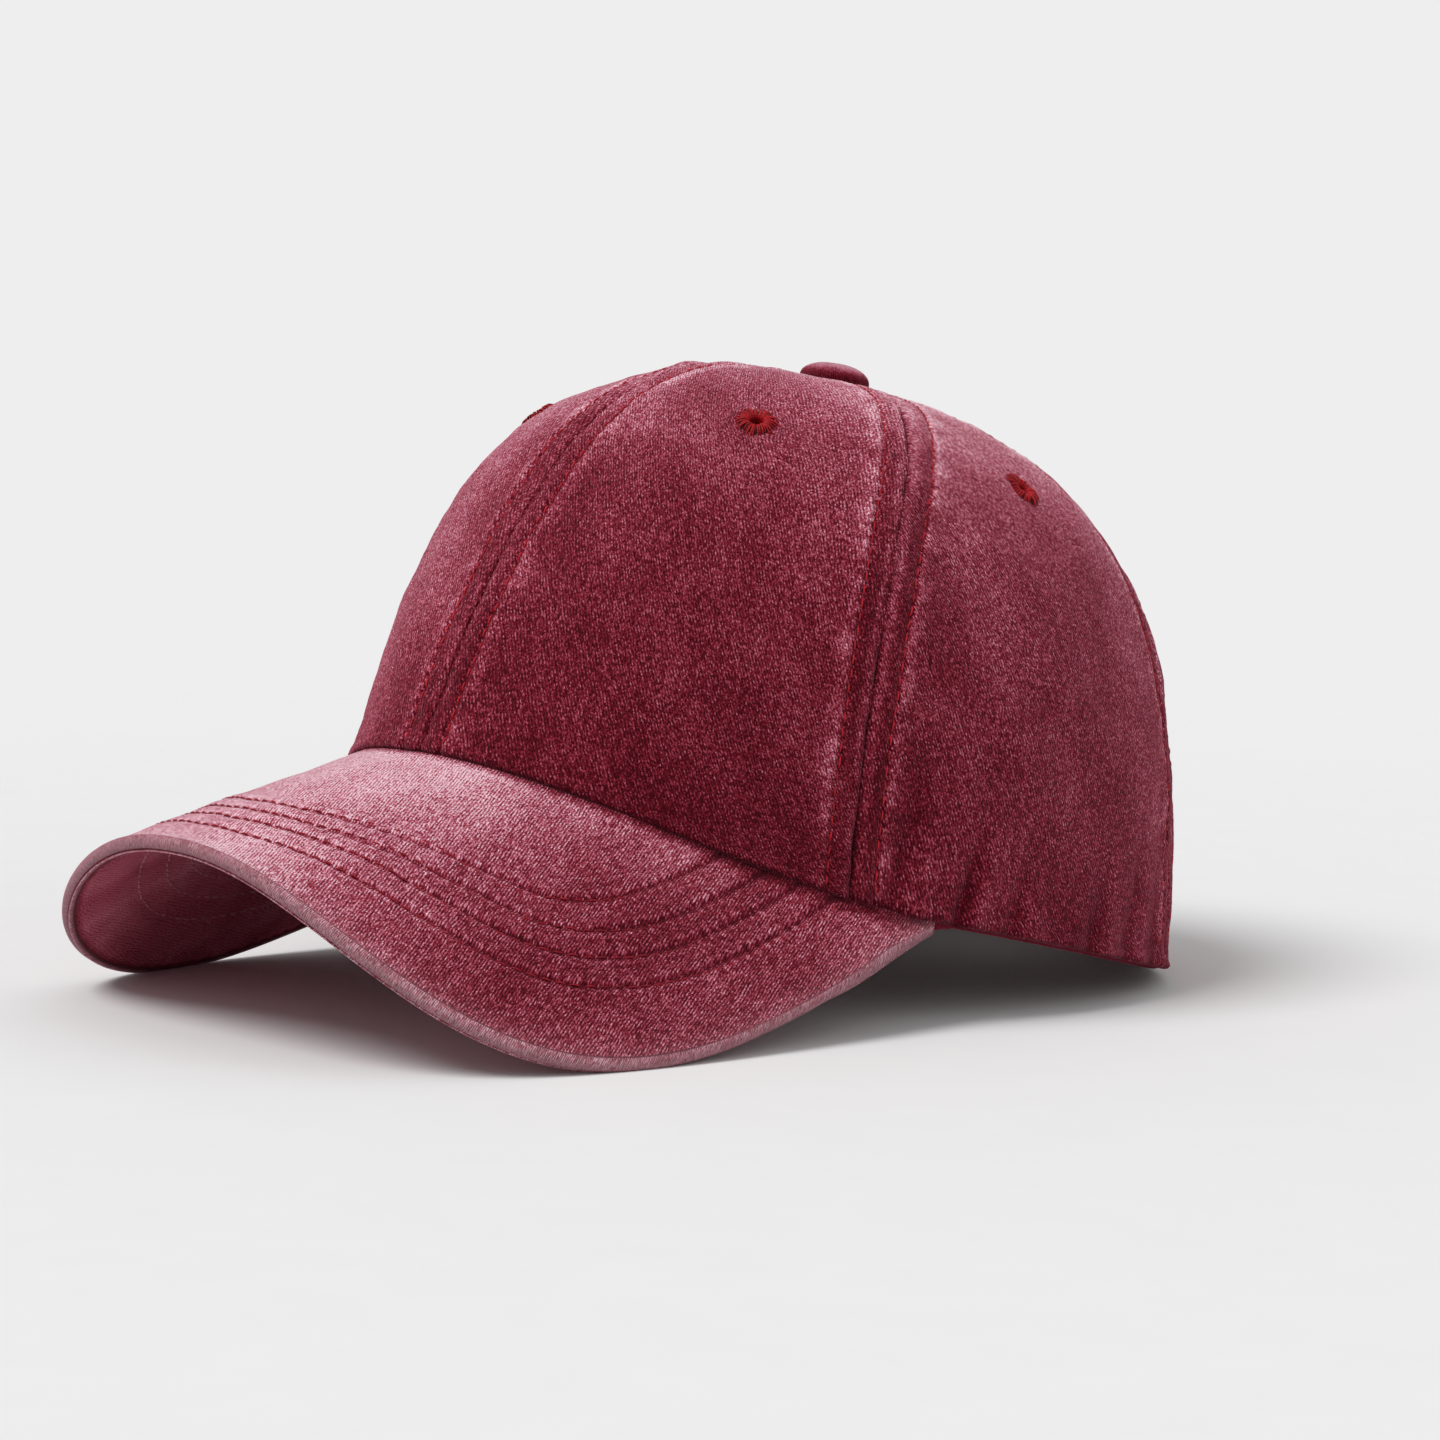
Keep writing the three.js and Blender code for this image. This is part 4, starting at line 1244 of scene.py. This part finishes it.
class PeakGrid:
    """Lines across the peak from its hem to its rim, in rows that run round its top, rim and underside."""

    SHARES = np.linspace(0, 1, 84)

    def __init__(self):
        angles = np.linspace(-PEAK_END, PEAK_END, 421) * PEAK_TRIM
        self.hem = hem_plan(angles)
        self.inner = self.hem - hem_outward(angles) * CLOTH_WALL
        across = edge_at(angles) - self.hem
        self.reach = np.linalg.norm(across, axis=-1)
        self.outward = across / self.reach[:, None]
        self.rim_round = np.minimum(PEAK_RIM_ROUND, self.reach / 4)
        self.rim_slant = np.minimum(self.reach / (PEAK_FULL_SLANT * PEAK_THICK), 1)
        self.taper = peak_taper(angles)
        self.tail = smoothstep(0, 16, self.reach)

    def plan(self, shares):
        """Places in plan between the hem and the start of the rim's rounding."""
        return self.hem + self.outward * ((self.reach - self.rim_round) * shares[:, None])[..., None]

    def top(self):
        plan = self.plan(self.SHARES)
        points = peak_surface(plan)
        distance, run = rim_distance(points)
        relief = peak_relief(distance, run) + peak_soft(points) * smoothstep(0, 5, distance)
        points = points + peak_normal(plan[..., 0], plan[..., 1]) * (relief * self.tail)[..., None]
        x = points[..., 0]
        fade = peak_top_wash_and_light(x, np.linalg.norm(plan - self.hem, axis=-1), distance, run)
        # Dust by the rim, and painted sheen: greyer towards the wearer's right
        return peak_sheet(points, fade, dust_and_sheen=0.4 * np.exp(-distance / 2.2) + 0.3 * smoothstep(10, -80, x))

    def rim(self):
        depth, bulge, fade = (column[:, None] for column in RIM_PROFILE.T)
        plan = self.plan(np.ones(1)) + self.outward * (self.rim_round * bulge)[..., None]
        points = peak_surface(plan, depth * self.taper, self.rim_slant)
        x = points[..., 0]
        # Paler and greyer towards the wearer's right: painted light and sheen
        fade = fade + 0.12 * smoothstep(-10, -75, x)
        dust_and_sheen = soft_table(depth, RIM_DUST_AND_SHEEN_PLACES, RIM_DUST_AND_SHEEN) * (1 + 0.3 * smoothstep(10, -75, x))
        down = np.linspace(0, 1, len(points))[:, None] * PEAK_THICK
        cloth = flat_place(arc_lengths(points[RIM_MEASURED]) * RIM_FIBRES, down)
        return peak_sheet(points, fade, 1.15, dust_and_sheen, cloth)

    def underside(self):
        shares = self.SHARES[::-2]
        plan = self.plan(shares)
        points = peak_surface(plan, self.taper, shares[:, None] * self.rim_slant)
        distance, run = rim_distance(peak_surface(plan))
        creases = 0.2 * np.sin(run * 1.3 + 3 * np.sin(run * 0.21)) * bump_at(distance, 4, 3.5)
        piping = 0.3 * bump_at(distance, PEAK_RIM_ROUND + 0.9, 0.6)
        relief = (peak_relief(distance, run) + creases - piping) * self.tail
        points = points - peak_normal(plan[..., 0], plan[..., 1]) * relief[..., None]
        # A darker line along the rim: painted shade in the groove beside the piping
        return peak_sheet(points, 0.54 - 0.34 * bump_at(distance, PEAK_RIM_ROUND, 1.0), grainy=0.2)


def peak():
    grid = PeakGrid()
    first = peak_sheet(peak_surface(grid.inner)[None], 0.3)
    last = peak_sheet(peak_surface(grid.inner, grid.taper)[None], 0.2)
    sheets = (first, grid.top(), grid.rim(), grid.underside(), last)
    points, cloth, fade, grainy, dust_and_sheen = (np.concatenate(part).swapaxes(0, 1) for part in zip(*sheets))
    faces = ring_faces(np.arange(fade.size).reshape(fade.shape))
    attributes = {"cloth": cloth.reshape(-1, 3)}
    for key, values in (("fade", fade), ("grainy", grainy), ("dust_and_sheen", dust_and_sheen)):
        attributes[key] = values.ravel()
    points = points.reshape(-1, 3)
    make_piece("peak_cloth", points, faces, attributes, PEAK_TWILL, "brim", sharp=180)


def round_plan(plan):
    """Angle and distance of places in plan, as if the hem's ellipse were a circle of radius one."""
    x, y = plan[:, 0] / HALF_WIDTH, plan[:, 1] / HALF_LENGTH
    return np.arctan2(x, -y), np.hypot(x, y)


def peak_row_plan(row):
    """A row of stitches in plan, set in from the rim, and which points of the rim it answers to."""
    inward = np.gradient(RIM, axis=0)
    inward = unit(np.stack([-inward[:, 1], inward[:, 0]], -1))
    steps = np.linspace(0, 60, 121)
    run = arc_lengths(peak_surface(RIM[:, None] + inward[:, None] * steps[None, :, None]))
    wanted = row_distance(row, RIM_RUN)
    reach = np.array([np.interp(w, r, steps) for w, r in zip(wanted, run)])
    line = RIM + inward * reach[:, None]
    angle, size = round_plan(line)
    hem_angle, hem_size = round_plan(hem_plan(np.linspace(-PEAK_END, PEAK_END, 400)))
    sewn = (size > np.interp(angle, hem_angle, hem_size) + 0.012) & (reach < 58)
    return line[sewn], sewn


def peak_row_line(row, depth_share):
    """Points and normals along a row of stitches, on the peak's top or its underside."""
    line, _ = peak_row_plan(row)
    normal = peak_normal(line[:, 0], line[:, 1])
    points = peak_surface(line, depth_share, depth_share)
    if depth_share:
        return points, -normal
    return points + normal * peak_soft(points)[:, None], normal


def peak_stitches():
    sides = (("topstitch_peak", 0.0, WASHED_THREAD, 0.04), ("stitch_peak_under", 1.0, UNDER_THREAD, 0.16))
    for name, depth_share, material, lift in sides:
        thread_piece(name, [peak_row_line(row, depth_share) for row in PEAK_ROWS], material, lift=lift)


# Sweatband and strap

def band_foot(angle):
    turn = np.abs(angle)
    bound = np.minimum(turn, PEAK_END)
    plan = hem_plan(bound)
    depth = PEAK_THICK / peak_normal(plan[..., 0], plan[..., 1])[..., 2]
    beside = depth * peak_taper(bound)
    share = (turn - PEAK_END) / (math.pi - PEAK_END)
    shows = beside + (BAND_SHOWS - beside) * np.clip(share / BAND_TURN_UP, 0, 1)
    hides = smoothstep(*BAND_TUCK, share)
    return np.where(turn <= PEAK_END, beside, shows + (-BAND_HIDDEN - shows) * hides)


def hem_offset(angle, offset):
    """A point at the hem, stood off level."""
    plan = hem_plan(angle) + hem_outward(angle) * offset
    on_peak = peak_top(plan[..., 0], plan[..., 1]) + FIT_GAP
    height = np.where(np.abs(angle) <= PEAK_END, on_peak, hem_height(angle))
    return np.concatenate([plan, height[..., None]], -1)


def slab_piece(name, outer, inner, cloth, fade, material, replaced):
    """A closed body between two sheets of points that have the same cloth and the same wash and painted
    shade.
    """
    rows, columns = outer.shape[:2]
    points, faces = shell(outer, inner, 1, np.ones((rows - 1, columns - 1), bool))
    fade = np.concatenate([np.broadcast_to(fade, (rows, columns)).ravel()] * 2)
    cloth = np.concatenate([cloth.reshape(-1, 3)] * 2)
    attributes = {"cloth": cloth, "fade": fade, "grainy": np.ones(fade.size)}
    make_piece(name, points, faces, attributes, material, replaced)


# Heights of the sweatband's points: shares of the way from its foot to the hem, then millimetres above it
BAND_FOOT_ROWS = 4
BAND_HEIGHTS = np.concatenate([np.linspace(-1, 0, BAND_FOOT_ROWS + 1)[:-1], np.linspace(0, BAND_HEIGHT, 26)])


def band_sheet(angles, offset, inward):
    """One face of the sweatband, set in from the crown and rounded over at its two edges."""
    sheet = []
    for height in BAND_HEIGHTS:
        if height <= 0:
            point = hem_offset(angles, offset)
            point[:, 2] += height * band_foot(angles)
        else:
            share = share_at_height(angles, height)
            point = crown_point(angles, share) + level_normal(angles, share) * offset
        sheet.append(point)
    sheet = np.array(sheet)
    rounding = 0.4 * (bump_at(BAND_HEIGHTS, -1, 0.3) + bump_at(BAND_HEIGHTS, BAND_HEIGHT, 0.5))
    sheet[..., :2] += inward * hem_outward(angles) * rounding[:, None, None]
    return sheet


def sweatband():
    edge = float(slit_edge(0.0)) / BAND_END_RADIUS
    angles = np.linspace(-math.pi + edge, math.pi - edge, 520)
    outer_offset = -CLOTH_WALL - BAND_GAP
    outer = band_sheet(angles, outer_offset, -1)
    inner = band_sheet(angles, outer_offset - BAND_THICK, 1)
    up = np.where(BAND_HEIGHTS < 0, 3 * BAND_HEIGHTS, BAND_HEIGHTS)
    cloth = flat_place(arc_lengths(outer[BAND_FOOT_ROWS]), up[:, None])
    slab_piece("band_cloth", outer, inner, cloth, 0.24, BAND_COTTON, "sweatband")


def strap_cloth(half_angle):
    across = np.linspace(-1, 1, 141)
    angles = math.pi + half_angle * across
    up = np.linspace(0, 1, 41)
    from_ends = (1 - np.abs(across)) * STRAP_LENGTH / 2
    from_sides = (0.5 - np.abs(up - 0.5))[:, None] * STRAP_HEIGHT
    from_edge = np.minimum(from_ends, from_sides)
    edge = np.clip(from_edge / 0.9, 0, 1)
    puff = 0.2 + 0.8 * np.sqrt(1 - (1 - edge) ** 2)
    sewn = bump_at(from_edge, STRAP_INSET, 0.6)
    share = np.array([share_at_height(angles, STRAP_LIFT + u * STRAP_HEIGHT) for u in up])
    base = crown_point(angles, share)
    normal = level_normal(angles + 0 * share, share)
    middle = STRAP_GAP + STRAP_THICK / 2
    outer = base + normal * (middle + STRAP_THICK / 2 * puff - 0.25 * sewn)[..., None]
    inner = base + normal * (middle - STRAP_THICK / 2 * puff)[..., None]
    cloth = flat_place(across * STRAP_LENGTH / 2, up[:, None] * STRAP_HEIGHT)
    # Paler at the edges and beside the stitches; darker along the sunk stitch lines, a painted shade
    fade = 0.35 + 0.26 * np.exp(-from_edge / 0.8) - 0.14 * sewn + 0.1 * bump_at(from_edge, 3.9, 0.8)
    slab_piece("strap_cloth", outer, inner, cloth, fade, CROWN_TWILL, "back_strap")


def strap_stitches(half_angle):
    angles = math.pi + half_angle * np.linspace(-1, 1, 121) * (1 - 2 * STRAP_INSET / STRAP_LENGTH)
    lines = []
    for height in (STRAP_INSET, STRAP_HEIGHT - STRAP_INSET):
        share = share_at_height(angles, STRAP_LIFT + height)
        normal = level_normal(angles, share)
        lines.append((crown_point(angles, share) + normal * (STRAP_GAP + STRAP_THICK - 0.15), normal))
    thread_piece("topstitch_strap", lines, SEAM_THREAD)


def strap():
    """The closed strap across the foot of the slit."""
    step = 1e-3
    chord = crown_point(math.pi + step, 0.0) - crown_point(math.pi - step, 0.0)
    half_angle = STRAP_LENGTH / 2 / (np.linalg.norm(chord) / (2 * step))
    strap_cloth(half_angle)
    strap_stitches(half_angle)


# Stage

CAMERA_AZIMUTH = math.radians(47.386)
CAMERA_ELEVATION = math.radians(5.011)
CAMERA_ROLL = math.radians(0.971)
CAMERA_DISTANCE = 838.3 * MM
CAMERA_TARGET = Vector((0.05, 4.91, 59.08)) * MM
CAMERA_LENS = 93.55
CAMERA_CENTRE = (670.195, 718.612)
IMAGE_SIZE = 1440
BACKGROUND = 0.855
AMBIENT = 0.45
FLOOR_HALF = 2.0
FLOOR_FADES = (0.3, 0.95)


def camera():
    back = toward(CAMERA_AZIMUTH, CAMERA_ELEVATION)
    right = Vector((math.cos(CAMERA_AZIMUTH), math.sin(CAMERA_AZIMUTH), 0))
    up = back.cross(right)
    rolled_right = right * math.cos(CAMERA_ROLL) + up * math.sin(CAMERA_ROLL)
    rolled_up = up * math.cos(CAMERA_ROLL) - right * math.sin(CAMERA_ROLL)
    data = bpy.data.cameras.new("camera")
    data.lens = CAMERA_LENS
    data.sensor_width = 36
    data.shift_x = (IMAGE_SIZE / 2 - CAMERA_CENTRE[0]) / IMAGE_SIZE
    data.shift_y = (CAMERA_CENTRE[1] - IMAGE_SIZE / 2) / IMAGE_SIZE
    view = bpy.data.objects.new("camera", data)
    turn = Matrix((rolled_right, rolled_up, back)).transposed().to_4x4()
    view.matrix_world = Matrix.Translation(CAMERA_TARGET + back * CAMERA_DISTANCE) @ turn
    bpy.context.scene.collection.objects.link(view)
    bpy.context.scene.camera = view


def floor():
    """A pale floor that thins out to the background far from the cap."""
    n = Nodes("pale_floor")
    place = n.node("ShaderNodeNewGeometry").outputs["Position"]
    distance = n.node("ShaderNodeVectorMath", {0: place}, operation="LENGTH").outputs["Value"]
    inputs = {"Value": distance, "From Min": FLOOR_FADES[0], "From Max": FLOOR_FADES[1]}
    gone = n.node("ShaderNodeMapRange", inputs, interpolation_type="SMOOTHSTEP").outputs["Result"]
    grain = n.node("ShaderNodeTexNoise", {"Vector": place, "Scale": 60.0, "Detail": 3.0}).outputs["Fac"]
    colour = n.ramp(grain, ((0.3, (0.855, 0.855, 0.855)), (0.7, (0.865, 0.865, 0.865))))
    n.put(n.shader.inputs["Base Color"], colour)
    n.put(n.shader.inputs["Roughness"], 0.9)
    clear = n.node("ShaderNodeBsdfTransparent").outputs[0]
    mixed = n.node("ShaderNodeMixShader", {0: gone, 1: n.shader.outputs[0], 2: clear}).outputs[0]
    n.put(n.tree.nodes["Material Output"].inputs["Surface"], mixed)
    corners = [(FLOOR_HALF * x, FLOOR_HALF * y, 0) for x, y in ((-1, -1), (1, -1), (1, 1), (-1, 1))]
    mesh = bpy.data.meshes.new("floor")
    mesh.from_pydata(corners, [], [(0, 1, 2, 3)])
    mesh.materials.append(n.material)
    ground = bpy.data.objects.new("floor", mesh)
    bpy.context.scene.collection.objects.link(ground)


def soft_light(name, azimuth, elevation, spread, strength):
    """A wide, distant light, so that the floor is lit evenly."""
    back = toward(math.radians(azimuth), math.radians(elevation))
    data = bpy.data.lights.new(name, "SUN")
    data.angle = math.radians(spread)
    data.energy = strength
    lamp = bpy.data.objects.new(name, data)
    lamp.rotation_mode = "QUATERNION"
    lamp.rotation_quaternion = back.to_track_quat("Z", "Y")
    bpy.context.scene.collection.objects.link(lamp)


def studio():
    world = bpy.data.worlds.new("studio")
    world.use_nodes = True
    nodes, links = world.node_tree.nodes, world.node_tree.links
    background = nodes["Background"]
    path = nodes.new("ShaderNodeLightPath")
    level = nodes.new("ShaderNodeMapRange")
    level.inputs["To Min"].default_value = AMBIENT
    level.inputs["To Max"].default_value = BACKGROUND
    links.new(path.outputs["Is Camera Ray"], level.inputs["Value"])
    links.new(level.outputs["Result"], background.inputs["Strength"])
    background.inputs["Color"].default_value = (1, 1, 1, 1)
    bpy.context.scene.world = world
    soft_light("key", -14, 56, 30, 1.85)
    soft_light("fill", 100, 32, 60, 0.35)
    bpy.context.scene.view_settings.view_transform = "Standard"
    bpy.context.scene.view_settings.look = "None"


camera()
studio()
floor()
grids = [crown_panel(piece) for piece in GORES]
crown_stitches(grids)
for piece in GORES:
    eyelet(piece)
covered_button()
peak()
peak_stitches()
sweatband()
strap()
